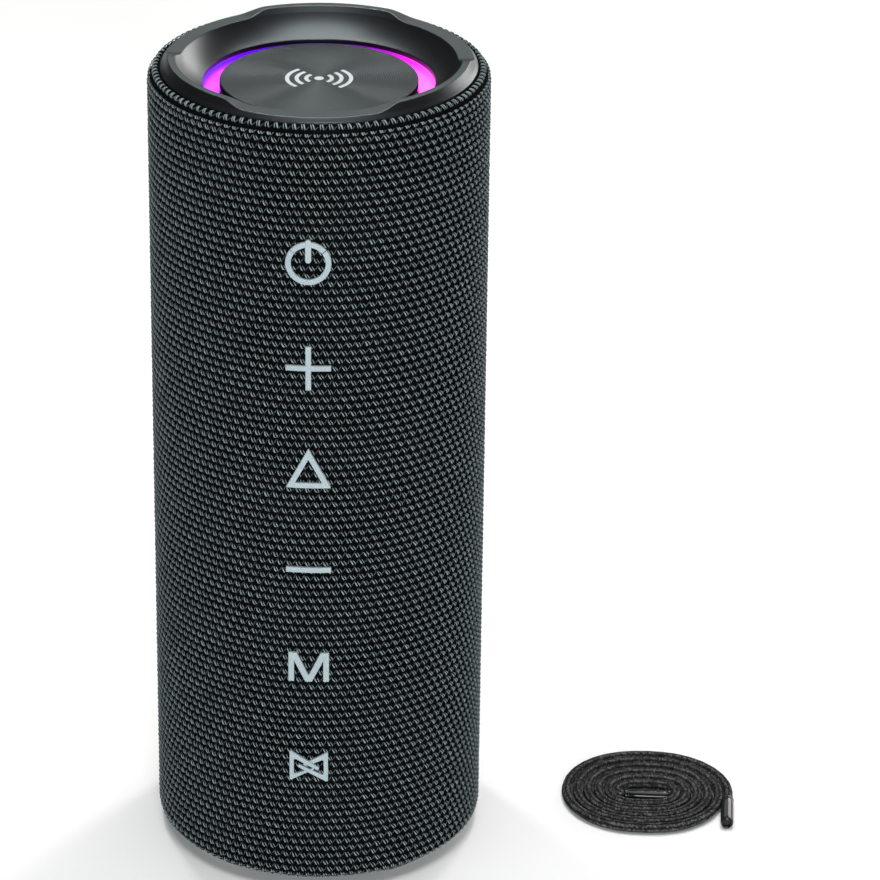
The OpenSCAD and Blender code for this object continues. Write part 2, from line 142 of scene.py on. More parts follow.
def grid_faces(nu, nv, wrap_u=False, wrap_v=False, base=0):
    """Quads of a grid whose vertex (i, j) is base + i * nv + j."""
    iu = np.arange(nu if wrap_u else nu - 1)
    jv = np.arange(nv if wrap_v else nv - 1)
    i, j = np.meshgrid(iu, jv, indexing="ij")
    i, j = i.ravel(), j.ravel()
    i2, j2 = (i + 1) % nu, (j + 1) % nv
    return base + np.stack([i * nv + j, i2 * nv + j, i2 * nv + j2, i * nv + j2], 1)


def lathe(name, profile, n, mats, smooth=True, centre=(0, 0), close=False, attrs=None):
    """Spins a profile of (r, z) points about Z."""
    p = np.asarray(profile, float)
    t = np.linspace(0, 2 * math.pi, n, endpoint=False)
    x = centre[0] + np.cos(t)[:, None] * p[None, :, 0]
    y = centre[1] + np.sin(t)[:, None] * p[None, :, 0]
    z = np.broadcast_to(p[None, :, 1], x.shape)
    v = np.stack([x, y, z], 2).reshape(-1, 3)
    return mesh_object(name, v, grid_faces(n, len(p), wrap_u=True, wrap_v=close), mats, smooth)


def resample(points, step):
    """A polyline cut into even steps, keeping its corners."""
    out = []
    p = np.asarray(points, float)
    for a, b in zip(p[:-1], p[1:]):
        n = max(1, int(math.ceil(np.linalg.norm(b - a) / step)))
        out += [a + (b - a) * i / n for i in range(n)]
    out.append(p[-1])
    return np.array(out)


def fillet(points, radii, seg=5):
    """A polyline with its inner corners rounded; radii one per point."""
    p = [np.asarray(q, float) for q in points]
    out = [p[0]]
    for i in range(1, len(p) - 1):
        r = radii[i] if not np.isscalar(radii) else radii
        u, w = p[i - 1] - p[i], p[i + 1] - p[i]
        lu, lw = np.linalg.norm(u), np.linalg.norm(w)
        if r <= 0 or lu < 1e-6 or lw < 1e-6:
            out.append(p[i])
            continue
        u, w = u / lu, w / lw
        half = math.acos(max(-1, min(1, float(u @ w)))) / 2
        if half > 1.55 or half < 0.02:
            out.append(p[i])
            continue
        cut = min(r / math.tan(half), 0.49 * lu, 0.49 * lw)
        a, b = p[i] + u * cut, p[i] + w * cut
        for s in range(seg + 1):
            t = s / seg
            out.append((1 - t) ** 2 * a + 2 * t * (1 - t) * p[i] + t * t * b)
    out.append(p[-1])
    return np.array(out)


def catmull(points, step):
    """A smooth curve through points, in even steps."""
    p = np.asarray(points, float)
    p = np.vstack([2 * p[0] - p[1], p, 2 * p[-1] - p[-2]])
    out = []
    for i in range(1, len(p) - 2):
        for s in np.linspace(0, 1, 40, endpoint=False):
            a, b, c, d = p[i - 1], p[i], p[i + 1], p[i + 2]
            out.append(0.5 * ((2 * b) + (c - a) * s + (2 * a - 5 * b + 4 * c - d) * s ** 2 + (3 * b - a - 3 * c + d) * s ** 3))
    out.append(p[-2])
    out = np.array(out)
    along = np.concatenate([[0], np.cumsum(np.linalg.norm(np.diff(out, axis=0), axis=1))])
    n = max(2, int(round(along[-1] / step)))
    t = np.linspace(0, along[-1], n + 1)
    return np.stack([np.interp(t, along, out[:, k]) for k in range(3)], 1)


# ------------------------------------------------------------------ materials
def material(name):
    m = bpy.data.materials.get(name)
    if m:
        return m, None, None, None
    m = bpy.data.materials.new(name)
    m.use_nodes = True
    nt = m.node_tree
    bsdf = next(n for n in nt.nodes if n.type == "BSDF_PRINCIPLED")
    return m, nt, nt.nodes, bsdf


def node(nt, kind, **values):
    n = nt.nodes.new(kind)
    for key, val in values.items():
        if key.startswith("i_"):
            n.inputs[key[2:].replace("_", " ")].default_value = val
        else:
            setattr(n, key, val)
    return n


def ramp(nt, source, stops, interpolation="LINEAR"):
    r = nt.nodes.new("ShaderNodeValToRGB")
    r.color_ramp.interpolation = interpolation
    els = r.color_ramp.elements
    while len(els) < len(stops):
        els.new(0.5)
    for e, (pos, col) in zip(els, stops):
        e.position = pos
        e.color = (*col, 1) if len(col) == 3 else col
    nt.links.new(source, r.inputs["Fac"])
    return r


def coords(nt, attribute=None):
    if attribute:
        a = node(nt, "ShaderNodeAttribute", attribute_name=attribute)
        return a.outputs["Vector"]
    return nt.nodes.new("ShaderNodeTexCoord").outputs["Object"]


def noise(nt, vector, scale, detail=3.0, rough=0.5, stretch=None):
    if stretch:
        mp = nt.nodes.new("ShaderNodeMapping")
        mp.inputs["Scale"].default_value = stretch
        nt.links.new(vector, mp.inputs["Vector"])
        vector = mp.outputs["Vector"]
    n = nt.nodes.new("ShaderNodeTexNoise")
    n.inputs["Scale"].default_value = scale
    n.inputs["Detail"].default_value = detail
    n.inputs["Roughness"].default_value = rough
    nt.links.new(vector, n.inputs["Vector"])
    return n.outputs["Fac"]


def bump(nt, bsdf, heights):
    """heights: list of (socket, strength, distance)."""
    last = None
    for socket, strength, distance in heights:
        b = nt.nodes.new("ShaderNodeBump")
        b.inputs["Strength"].default_value = strength
        b.inputs["Distance"].default_value = distance
        nt.links.new(socket, b.inputs["Height"])
        if last:
            nt.links.new(last, b.inputs["Normal"])
        last = b.outputs["Normal"]
    nt.links.new(last, bsdf.inputs["Normal"])


def finish(name, c1, c2, rough=(0.4, 0.6), metal=0.0, grain=900.0, grain_bump=0.15, grain_d=0.00005,
           patch=60.0, spec=0.5, coat=0.0, coat_rough=0.1, sheen=0.0, stretch=None, detail=4.0, aniso=0.0, stops=(0.3, 0.7)):
    """A moulded, painted, cast or coated finish: broad colour patches, fine grain in colour, roughness and relief."""
    m, nt, ns, bsdf = material(name)
    if nt is None:
        return m
    vec = coords(nt)
    broad = noise(nt, vec, patch, 3.0, 0.55)
    fine = noise(nt, vec, grain, detail, 0.6, stretch)
    mix = node(nt, "ShaderNodeMath", operation="ADD")
    nt.links.new(broad, mix.inputs[0])
    half = node(nt, "ShaderNodeMath", operation="MULTIPLY")
    half.inputs[1].default_value = 0.35
    sub = node(nt, "ShaderNodeMath", operation="SUBTRACT")
    sub.inputs[1].default_value = 0.5
    nt.links.new(fine, sub.inputs[0])
    nt.links.new(sub.outputs[0], half.inputs[0])
    nt.links.new(half.outputs[0], mix.inputs[1])
    col = ramp(nt, mix.outputs[0], [(stops[0], c1), (stops[1], c2)])
    nt.links.new(col.outputs["Color"], bsdf.inputs["Base Color"])
    rr = nt.nodes.new("ShaderNodeMapRange")
    rr.inputs["From Min"].default_value, rr.inputs["From Max"].default_value = 0.3, 0.7
    rr.inputs["To Min"].default_value, rr.inputs["To Max"].default_value = rough
    nt.links.new(fine, rr.inputs["Value"])
    nt.links.new(rr.outputs["Result"], bsdf.inputs["Roughness"])
    bsdf.inputs["Metallic"].default_value = metal
    bsdf.inputs["Specular IOR Level"].default_value = spec
    bsdf.inputs["Coat Weight"].default_value = coat
    bsdf.inputs["Coat Roughness"].default_value = coat_rough
    bsdf.inputs["Sheen Weight"].default_value = sheen
    if aniso:
        bsdf.inputs["Anisotropic"].default_value = aniso
    bump(nt, bsdf, [(fine, grain_bump, grain_d)])
    return m


def yarn_material(name, low, high, rough=0.55, spec=0.35, sheen=0.0):
    """Twisted yarn: a per-point brightness attribute sets how bright a strand is and carries its painted shade (darker
    strand sides, darker tucked ends, darker under-passing braid); attribute yarn runs across and along it.
    """
    m, nt, ns, bsdf = material(name)
    if nt is None:
        return m
    tone_and_painted_shade = node(nt, "ShaderNodeAttribute", attribute_name="tone_and_painted_shade")
    yv = coords(nt, "yarn")
    wave = nt.nodes.new("ShaderNodeTexWave")
    wave.wave_type, wave.bands_direction, wave.wave_profile = "BANDS", "DIAGONAL", "SIN"
    wave.inputs["Scale"].default_value = 1.6
    wave.inputs["Distortion"].default_value = 0.6
    wave.inputs["Detail"].default_value = 1.0
    nt.links.new(yv, wave.inputs["Vector"])
    var = noise(nt, coords(nt), 420.0, 2.0, 0.6)
    add = node(nt, "ShaderNodeMath", operation="MULTIPLY_ADD")
    nt.links.new(var, add.inputs[0])
    add.inputs[1].default_value = 0.5
    add.inputs[2].default_value = 0.72
    mul = node(nt, "ShaderNodeMath", operation="MULTIPLY")
    nt.links.new(tone_and_painted_shade.outputs["Fac"], mul.inputs[0])
    nt.links.new(add.outputs[0], mul.inputs[1])
    w2 = node(nt, "ShaderNodeMath", operation="MULTIPLY_ADD")
    nt.links.new(wave.outputs["Fac"], w2.inputs[0])
    w2.inputs[1].default_value = 0.30
    w2.inputs[2].default_value = 0.82
    mul2 = node(nt, "ShaderNodeMath", operation="MULTIPLY")
    nt.links.new(mul.outputs[0], mul2.inputs[0])
    nt.links.new(w2.outputs[0], mul2.inputs[1])
    col = ramp(nt, mul2.outputs[0], [(0.0, low), (1.0, high)])
    nt.links.new(col.outputs["Color"], bsdf.inputs["Base Color"])
    bsdf.inputs["Roughness"].default_value = rough
    bsdf.inputs["Specular IOR Level"].default_value = spec
    bsdf.inputs["Sheen Weight"].default_value = sheen
    bump(nt, bsdf, [(wave.outputs["Fac"], 0.5, 0.00004)])
    return m


YARN = yarn_material("yarn_slate", (0.0006, 0.0008, 0.0009), (0.325, 0.387, 0.405), rough=0.75, spec=0.03)
# the backing cloth is near-black: its own dark colour, made darker still as painted shade for the deep gaps between the
# tufts
BACKING = finish("knit_backing", (0.0012, 0.0014, 0.0016), (0.0030, 0.0034, 0.0038), rough=(0.9, 0.98), grain=2500.0,
                 grain_bump=0.6, grain_d=0.0001, spec=0.02)
BRAID = yarn_material("braid_yarn", (0.0015, 0.0015, 0.0015), (0.27, 0.27, 0.274), rough=0.75, spec=0.06)


# ------------------------------------------------------------------ the coiled lanyard
CORD_D, CORD_R = 2.6, 1.29
HX, HY = COIL[0] - 0.2, COIL[1] - 1.3      # middle of the coil's hole


def coil_point(phi):
    """Flat spiral seen from above: phi 0 at the left, then over the far side, clockwise."""
    turns = phi / (2 * math.pi)
    b = 3.30 + 2.735 * turns
    a = 6.15 + 2.49 * turns
    n = np.array([-math.cos(phi), math.sin(phi)])
    flat = (a - b) * n[0] / math.sqrt(n[0] ** 2 + 0.18 ** 2)
    return np.array([HX - 0.30 + b * n[0] + flat, HY + 0.62 + b * n[1]])


tip_a = np.array([HX - 4.95, HY - 0.95])
route = [tip_a, tip_a + [-0.8, 0.0], tip_a + [-1.75, 0.35], tip_a + [-2.25, 1.25], tip_a + [-2.2, 2.45],
         tip_a + [-1.55, 3.55], tip_a + [-0.35, 4.45]]
for k in range(0, 400):
    phi = math.pi * (0.36 + k / 12)
    if phi > 2 * math.pi * 5.50:
        break
    route.append(coil_point(phi))
tip_b = np.array([COIL[0] + 18.9, COIL[1] - 3.7])
last = route[-1]
route.append(0.45 * last + 0.55 * tip_b + np.array([0.06, 0]))
route.append(tip_b)
route = np.array([[p[0], p[1], CORD_R + 0.03] for p in route])
path = catmull(route, 0.34)
for _ in range(24):
    path[2:-2] += 0.25 * (path[1:-3] - 2 * path[2:-2] + path[3:-1])
path = resample(path, 0.34)
along = np.concatenate([[0], np.cumsum(np.linalg.norm(np.diff(path, axis=0), axis=1))])
tan = np.gradient(path, axis=0)
tan /= np.linalg.norm(tan, axis=1)[:, None]
side = np.stack([tan[:, 1], -tan[:, 0], np.zeros(len(tan))], 1)
side /= np.linalg.norm(side, axis=1)[:, None]
up = np.array([0, 0, 1.0])
rng = np.random.default_rng(5)

CARRIERS, LAY = 12, 7.4
parts_v, parts_f, tone_and_painted_shade, yarn = [], [], [], []
base = 0
for direction in (1, -1):
    for c in range(CARRIERS):
        ang = direction * (2 * math.pi * along / LAY) + 2 * math.pi * c / CARRIERS
        # two over, two under: the crossing number decides which layer a carrier is in
        cross = 2 * along / LAY * CARRIERS
        wave = np.sin(math.pi * (cross / 2 + (c if direction > 0 else -c) / 1.0) + (0 if direction > 0 else math.pi))
        rad = 1.150 + 0.11 * np.tanh(1.8 * wave)
        wide = 0.30
        spot = rng.random(int(cross[-1] / 2) + 4) ** 2.2
        over = np.floor(cross / 2 + c + 0.5).astype(int) - (c if c else 0)
        tone = 0.10 + 0.72 * spot[np.clip(over // 1, 0, len(spot) - 1)]
        for w, drop, u in ((-wide, 0.14, -1), (0.0, 0.0, 0), (wide, 0.14, 1)):
            aa = ang + w * direction / 1.25 * 0.85
            r = rad - drop
            shift = -w * 0.45
            pts = path + side * (r * np.cos(aa))[:, None] + up * (r * np.sin(aa))[:, None] + tan * shift
            parts_v.append(pts)
            yarn.append(np.stack([np.full(len(along), u * 1.1), along * 3.2, np.full(len(along), c + 0.0)], 1))
            # painted shade: the two side rows of each carrier are darkened to 0.18 and the stretches that pass under
            # are darker; the tone per crossing varies at random
            tone_and_painted_shade.append(tone * (1.0 if u == 0 else 0.18) * (0.55 + 0.45 * np.tanh(2.2 * wave)))
        f = grid_faces(3, len(path), base=base)
        parts_f.append(f if direction > 0 else f[:, ::-1])
        base += 3 * len(path)
core_n, core_step = 10, 3
cp = path[::core_step]
ct, cs = tan[::core_step], side[::core_step]
t = np.linspace(0, 2 * math.pi, core_n, endpoint=False)
ring = cp[:, None, :] + 1.00 * (cs[:, None, :] * np.cos(t)[None, :, None] + up[None, None, :] * np.sin(t)[None, :, None])
parts_v.append(ring.reshape(-1, 3))
yarn.append(np.zeros((len(cp) * core_n, 3)))
tone_and_painted_shade.append(np.zeros(len(cp) * core_n))
parts_f.append(grid_faces(len(cp), core_n, wrap_v=True, base=base))
cord = mesh_object("lanyard_cord", np.concatenate(parts_v), parts_f, [BRAID], True,
                   attrs={"tone_and_painted_shade": np.concatenate(tone_and_painted_shade), "yarn": np.concatenate(yarn)})

TIP = finish("tip_gloss", (0.006, 0.006, 0.007), (0.016, 0.016, 0.017), rough=(0.10, 0.14), grain=1800.0, grain_bump=0.015,
             coat=0.0, coat_rough=0.12, spec=0.22)


def tip_piece(name, start, direction):
    """A crimped tube end: rolled lip, pinched collar, slight barrel and a bored far end."""
    prof = [(1.18, 0.0), (1.36, 0.02), (1.47, 0.12), (1.52, 0.30), (1.52, 0.75), (1.46, 0.98), (1.44, 1.18), (1.49, 1.40),
            (1.52, 1.75), (1.52, 9.6), (1.49, 10.35), (1.40, 10.72), (1.26, 10.92), (1.08, 11.0), (0.92, 10.96),
            (0.84, 10.8), (0.82, 10.2), (0.0, 10.15)]
    prof = np.array(prof)
    prof = np.vstack([resample(prof[:8], 0.2), resample(prof[8:10], 1.2)[1:], resample(prof[10:], 0.15)])
    n = 40
    th = np.linspace(0, 2 * math.pi, n, endpoint=False)
    d = np.array([*direction, 0.0])
    d /= np.linalg.norm(d)
    s = np.array([d[1], -d[0], 0])
    org = np.array([start[0], start[1], 1.52])
    x = prof[:, 1]
    rr = prof[:, 0][None, :] * np.ones((n, 1))
    # the seam where the sleeve was rolled, along the top side
    seam = np.exp(-((np.angle(np.exp(1j * (th - 1.9)))) / 0.07) ** 2)[:, None] * ((x > 0.1) & (x < 10.4))[None, :] * 0.06
    rr = rr - seam * (rr > 1.2)
    pts = org + d * x[None, :, None] + s * (rr * np.cos(th)[:, None])[:, :, None] + up * (rr * np.sin(th)[:, None])[:, :, None]
    return mesh_object(name, pts.reshape(-1, 3), grid_faces(n, len(prof), wrap_u=True), [TIP], True)


tip1 = tip_piece("lanyard_tip_inner", (tip_a[0] - 0.35, tip_a[1]), (1.0, -0.02))
tip2 = tip_piece("lanyard_tip_outer", (tip_b[0], tip_b[1] + 0.35), (-0.03, -1.0))
for ob in (cord, tip1, tip2):
    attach(ob, "lanyard")
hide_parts("lanyard_coil")
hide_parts("lanyard_tips")
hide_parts("lanyard_tips")

# ------------------------------------------------------------------ the knitted sleeve
ARC = SR * math.pi / 2
WALL = (Z1 - SR) - (Z0 + SR)
LEN = 2 * ARC + WALL


def sleeve_at(th, v, h):
    """Point on the knit: th is the angle about Z, v runs up the profile from the lower edge, h stands off the surface."""
    th, v, h = np.broadcast_arrays(np.asarray(th, float), np.asarray(v, float), np.asarray(h, float))
    low = v < ARC
    high = v > ARC + WALL
    ph = np.where(low, (ARC - v) / SR, np.where(high, (v - ARC - WALL) / SR, 0.0))
    ph = np.clip(ph, -0.35, math.pi / 2 + 0.15)
    nr = np.cos(ph)
    nz = np.where(low, -np.sin(ph), np.where(high, np.sin(ph), 0.0))
    r = (R - SR) + (SR + h) * nr
    zc = np.where(low, Z0 + SR, np.where(high, Z1 - SR, Z0 + v - ARC + SR))
    z = zc + (SR + h) * nz
    return np.stack([r * np.sin(th), -r * np.cos(th), z], -1)


def in_rect(x, z, box, grow):
    cx, cz, hw, hh, rad = box
    dx, dz = np.abs(x - cx) - (hw + grow - rad), np.abs(z - cz) - (hh + grow - rad)
    return (np.hypot(np.maximum(dx, 0), np.maximum(dz, 0)) + np.minimum(np.maximum(dx, dz), 0)) < rad


PITCH_N = 116
PX = 2 * math.pi / PITCH_N                # angle per tuft
ROW = 1.822
EDGE = 3.55                               # where the plain rows start, from either edge
rows = int(round((LEN - 2 * EDGE - 1.9) / ROW)) + 1
row_v = EDGE + 0.95 + np.arange(rows) * (LEN - 2 * EDGE - 1.9 - 0.40) / (rows - 1)

# one strand = list of (across mm, up mm, height) points, half width, brightness
A_STRAND = ([(-0.60, 0.68, -0.50), (-0.50, 0.50, -0.20), (-0.35, 0.20, -0.05), (-0.19, -0.14, -0.03), (-0.02, -0.44, -0.14), (0.11, -0.68, -0.50)], 0.170, 0.18, 1.00)
B_STRAND = ([(-0.06, 0.62, -0.52), (0.09, 0.52, -0.26), (0.27, 0.28, -0.12), (0.41, -0.02, -0.09), (0.51, -0.34, -0.20), (0.54, -0.60, -0.52)], 0.132, 0.15, 0.80)
C_STRAND = ([(1.30, 0.90, -0.54), (1.19, 0.66, -0.28), (1.06, 0.40, -0.20), (0.93, 0.14, -0.20), (0.82, -0.10, -0.34), (0.74, -0.30, -0.56)], 0.100, 0.11, 0.36)
D_STRAND = ([(0.80, -0.20, -0.56), (0.68, -0.50, -0.42), (0.54, -0.78, -0.38), (0.40, -1.04, -0.38), (0.26, -1.28, -0.44), (0.15, -1.46, -0.56)], 0.085, 0.09, 0.07)
STRANDS = [A_STRAND, B_STRAND, C_STRAND, D_STRAND]
ACROSS = 6                                # points round each half tube


def build_strands(th0, v0, kinds, seed, scale_len=0.90, jitter=0.030, floor_h=-1.0):
    """Half tubes for every tuft centre (th0, v0). Returns verts, faces, per-point tone with painted shade, yarn."""
    gen = np.random.default_rng(seed)
    n = len(th0)
    vs, fs, tones_with_painted_shade, ya = [], [], [], []
    base = 0
    for ki, (pts, w, t, tone) in enumerate(kinds):
        p = np.array(pts, float)
        m = len(p)
        d = np.gradient(p[:, :2], axis=0)
        d /= np.linalg.norm(d, axis=1)[:, None]
        q = np.stack([-d[:, 1], d[:, 0]], 1)             # across the strand
        taper = np.array([0.55] + [1.0] * (m - 2) + [0.55])
        a = np.linspace(-1.75, 1.75, ACROSS)
        cu, ch = np.sin(a), np.cos(a)
        off = gen.normal(0, jitter, (n, 2))
        lift = gen.normal(0, 0.018, n)
        fat = 1 + gen.normal(0, 0.07, n)
        turn = gen.normal(0, 0.05, n)
        s = p[None, :, None, 0] + q[None, :, None, 0] * (w * taper)[None, :, None] * cu[None, None, :] * fat[:, None, None]
        u = p[None, :, None, 1] + q[None, :, None, 1] * (w * taper)[None, :, None] * cu[None, None, :] * fat[:, None, None]
        s, u = s - turn[:, None, None] * u + off[:, 0][:, None, None], u + turn[:, None, None] * s + off[:, 1][:, None, None]
        h = p[None, :, None, 2] + (t * taper)[None, :, None] * ch[None, None, :] + lift[:, None, None]
        h = np.maximum(h, floor_h)
        vv = v0[:, None, None] + u * scale_len
        pos = sleeve_at(th0[:, None, None] + s / R, vv, h)
        vs.append(pos.reshape(-1, 3))
        quad = grid_faces(m, ACROSS)
        fs.append((quad[None, :, :] + (base + np.arange(n) * m * ACROSS)[:, None, None]).reshape(-1, 4))
        tn = tone * (1 + gen.normal(0, 0.10, n))
        # painted shade: each strand is brightest along its crest and darkened towards its two sides and towards its
        # ends, where it tucks under its neighbours; the tone per strand varies at random
        tucked_end_shade = np.sin(math.pi * (np.arange(m) + 0.35) / (m - 0.3)).clip(0, 1) ** 0.8
        tones_with_painted_shade.append((tn[:, None, None] * (0.07 + 0.93 * ch.clip(0, 1) ** 2.1)[None, None, :] * (0.15 + 0.85 * tucked_end_shade)[None, :, None]).reshape(-1))
        y = np.zeros((n, m, ACROSS, 3))
        y[..., 0] = cu[None, None, :] * 1.2
        y[..., 1] = np.linspace(0, 4.2, m)[None, :, None]
        y[..., 2] = gen.random(n)[:, None, None] * 30
        ya.append(y.reshape(-1, 3))
        base += n * m * ACROSS
    if not vs:
        return None
    return np.concatenate(vs), np.concatenate(fs), np.concatenate(tones_with_painted_shade), np.concatenate(ya)


# tuft centres
tt, vv = [], []
for i, v in enumerate(row_v):
    k = np.arange(PITCH_N)
    tt.append((k + (0.5 if i % 2 else 0.0)) * PX + 0.0205)
    vv.append(np.full(PITCH_N, v))
tt, vv = np.concatenate(tt), np.concatenate(vv)
tt = (tt + math.pi) % (2 * math.pi) - math.pi
centre = sleeve_at(tt, vv, 0.0)
keep = np.ones(len(tt), bool)
for box in (PORT, EYE):
    keep &= ~((centre[:, 1] > 0) & in_rect(centre[:, 0], centre[:, 2], box, 0.75))
tt, vv, centre = tt[keep], vv[keep], centre[keep]

front = centre[:, 1] < 0
zone = np.full(len(tt), -1)
where = np.zeros(len(tt), int)
for ki, kz in enumerate(KEY_Z):
    dx, dz = centre[:, 0], centre[:, 2] - kz
    m = np.maximum(np.abs(dx), np.abs(dz))
    hit = front & (m < KEY_B - 0.25)
    zone[hit] = ki
    w = np.where(m < KEY_A - 0.2, 0, np.where(np.abs(dx) >= np.abs(dz), np.where(dx > 0, 2, 1), np.where(dz > 0, 4, 3)))
    where[hit] = w[hit]


def add_knit(name, th0, v0, kinds, seed, body=None):
    got = build_strands(th0, v0, kinds, seed)
    ob = mesh_object(name, got[0], got[1], [YARN], True, attrs={"tone_and_painted_shade": got[2], "yarn": got[3]})
    if body:
        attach(ob, body)
    return ob


plain = zone < 0
BAND = 8
for b in range(0, rows, BAND):
    lo_v, hi_v = row_v[b] - 0.01, row_v[min(b + BAND, rows) - 1] + 0.01
    sel = plain & (vv >= lo_v) & (vv <= hi_v)
    add_knit("knit_band_%02d" % (b // BAND + 1), tt[sel], vv[sel], STRANDS, 100 + b, "speaker")

E1 = [([(-0.44, 0.98, -0.46), (-0.42, 0.72, -0.12), (-0.42, 0.25, 0.00), (-0.37, -0.25, -0.02), (-0.28, -0.62, -0.16), (-0.20, -0.86, -0.46)], 0.150, 0.16, 0.90),
      ([(-0.02, 1.00, -0.46), (0.00, 0.76, -0.10), (0.08, 0.28, 0.02), (0.19, -0.22, 0.00), (0.31, -0.62, -0.14), (0.40, -0.88, -0.46)], 0.200, 0.19, 1.10),
      ([(1.30, 0.30, -0.46), (1.16, 0.02, -0.24), (1.00, -0.26, -0.18), (0.83, -0.52, -0.20), (0.66, -0.76, -0.30), (0.54, -0.96, -0.48)], 0.110, 0.12, 0.34)]
E2 = [([(-0.50, 0.40, -0.40), (-0.42, 0.26, -0.12), (-0.32, 0.02, -0.03), (-0.20, -0.22, -0.12), (-0.12, -0.38, -0.42)], 0.20, 0.18, 1.05),
      ([(0.02, 0.40, -0.42), (0.10, 0.24, -0.16), (0.20, 0.00, -0.08), (0.30, -0.22, -0.16), (0.38, -0.36, -0.42)], 0.17, 0.15, 0.85),
      ([(0.56, -0.26, -0.40), (0.58, -0.06, -0.18), (0.68, 0.16, -0.12), (0.84, 0.24, -0.18), (0.98, 0.20, -0.40)], 0.12, 0.12, 0.50)]
kk = np.arange(PITCH_N) * PX + 0.0205
for tag, at1, at2 in (("upper", LEN - 1.30, LEN - 3.46), ("lower", 1.05, 2.95)):
    a = build_strands((kk + 0.5 * PX - 0.0225) % (2 * math.pi), np.full(PITCH_N, at1), E1, 7, scale_len=0.88, jitter=0.02)
    b = build_strands((kk + 0.5 * PX) % (2 * math.pi), np.full(PITCH_N, at2), E2, 8, scale_len=1.0, jitter=0.02)
    ob = mesh_object("knit_border_" + tag, np.concatenate([a[0], b[0]]), [a[1], b[1] + len(a[0])], [YARN], True,
                     attrs={"tone_and_painted_shade": np.concatenate([a[2], b[2]]), "yarn": np.concatenate([a[3], b[3]])})
    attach(ob, "speaker")

# the backing cloth, with the key windows and the two rear openings
BACK_H = -0.58
hole = KEY_B - 0.15
cols = set(np.round(np.linspace(-math.pi, math.pi, 233)[:-1], 6))
for s in (-1, 1):
    cols = {c for c in cols if abs(c - s * math.asin(hole / R)) > 0.011}
    cols.add(round(s * math.asin(hole / R), 6))
cols = np.array(sorted(cols))
vz = lambda z: z - (Z0 + SR) + ARC
lines = set(np.round(np.linspace(0, LEN, 190), 5))
for kz in KEY_Z:
    for s in (-1, 1):
        target = vz(kz + s * hole)
        lines = {c for c in lines if abs(c - target) > 0.45}
        lines.add(round(target, 5))
lines = np.array(sorted(lines))
C, V = np.meshgrid(cols, lines, indexing="ij")
edge_in = np.clip((4.6 - np.minimum(V, LEN - V)) / 2.2, 0, 1)
pts = sleeve_at(C, V, BACK_H + 0.26 * edge_in)


def rect_sdf(x, z, box, grow):
    cx, cz, hw, hh, rad = box
    px, pz = np.abs(x - cx) - (hw + grow - rad), np.abs(z - cz) - (hh + grow - rad)
    return np.hypot(np.maximum(px, 0), np.maximum(pz, 0)) + np.minimum(np.maximum(px, pz), 0) - rad


rear = pts[..., 1] > 0
for box in (PORT, EYE):
    X, Z = pts[..., 0], pts[..., 2]
    d = rect_sdf(X, Z, box, 0.12)
    e = 0.01
    gx = (rect_sdf(X + e, Z, box, 0.12) - rect_sdf(X - e, Z, box, 0.12)) / (2 * e)
    gz = (rect_sdf(X, Z + e, box, 0.12) - rect_sdf(X, Z - e, box, 0.12)) / (2 * e)
    near = rear & (np.abs(d) < 0.62)
    X2, Z2 = np.where(near, X - d * gx, X), np.where(near, Z - d * gz, Z)
    Y2 = np.where(near, np.sqrt(np.maximum((R + BACK_H) ** 2 - X2 ** 2, 0)), pts[..., 1])
    pts = np.stack([X2, Y2, Z2], -1)
quads = grid_faces(len(cols), len(lines), wrap_u=True)
mid = pts.reshape(-1, 3)[quads].mean(1)
cut = np.zeros(len(quads), bool)
for kz in KEY_Z:
    cut |= (mid[:, 1] < 0) & (np.abs(mid[:, 0]) < hole - 0.02) & (np.abs(mid[:, 2] - kz) < hole - 0.02)
for box in (PORT, EYE):
    cut |= (mid[:, 1] > 0) & (rect_sdf(mid[:, 0], mid[:, 2], box, 0.12) < -0.02)
quads = quads[~cut]
used = np.unique(quads)
remap = np.full(pts.reshape(-1, 3).shape[0], -1)
remap[used] = np.arange(len(used))
backing = mesh_object("knit_backing", pts.reshape(-1, 3)[used], [remap[quads]], [BACKING], True)
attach(backing, "speaker")
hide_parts("fabric_sleeve")


def front_point(x, z, h):
    return np.stack([x, -np.sqrt((R + h) ** 2 - x ** 2), z], -1)


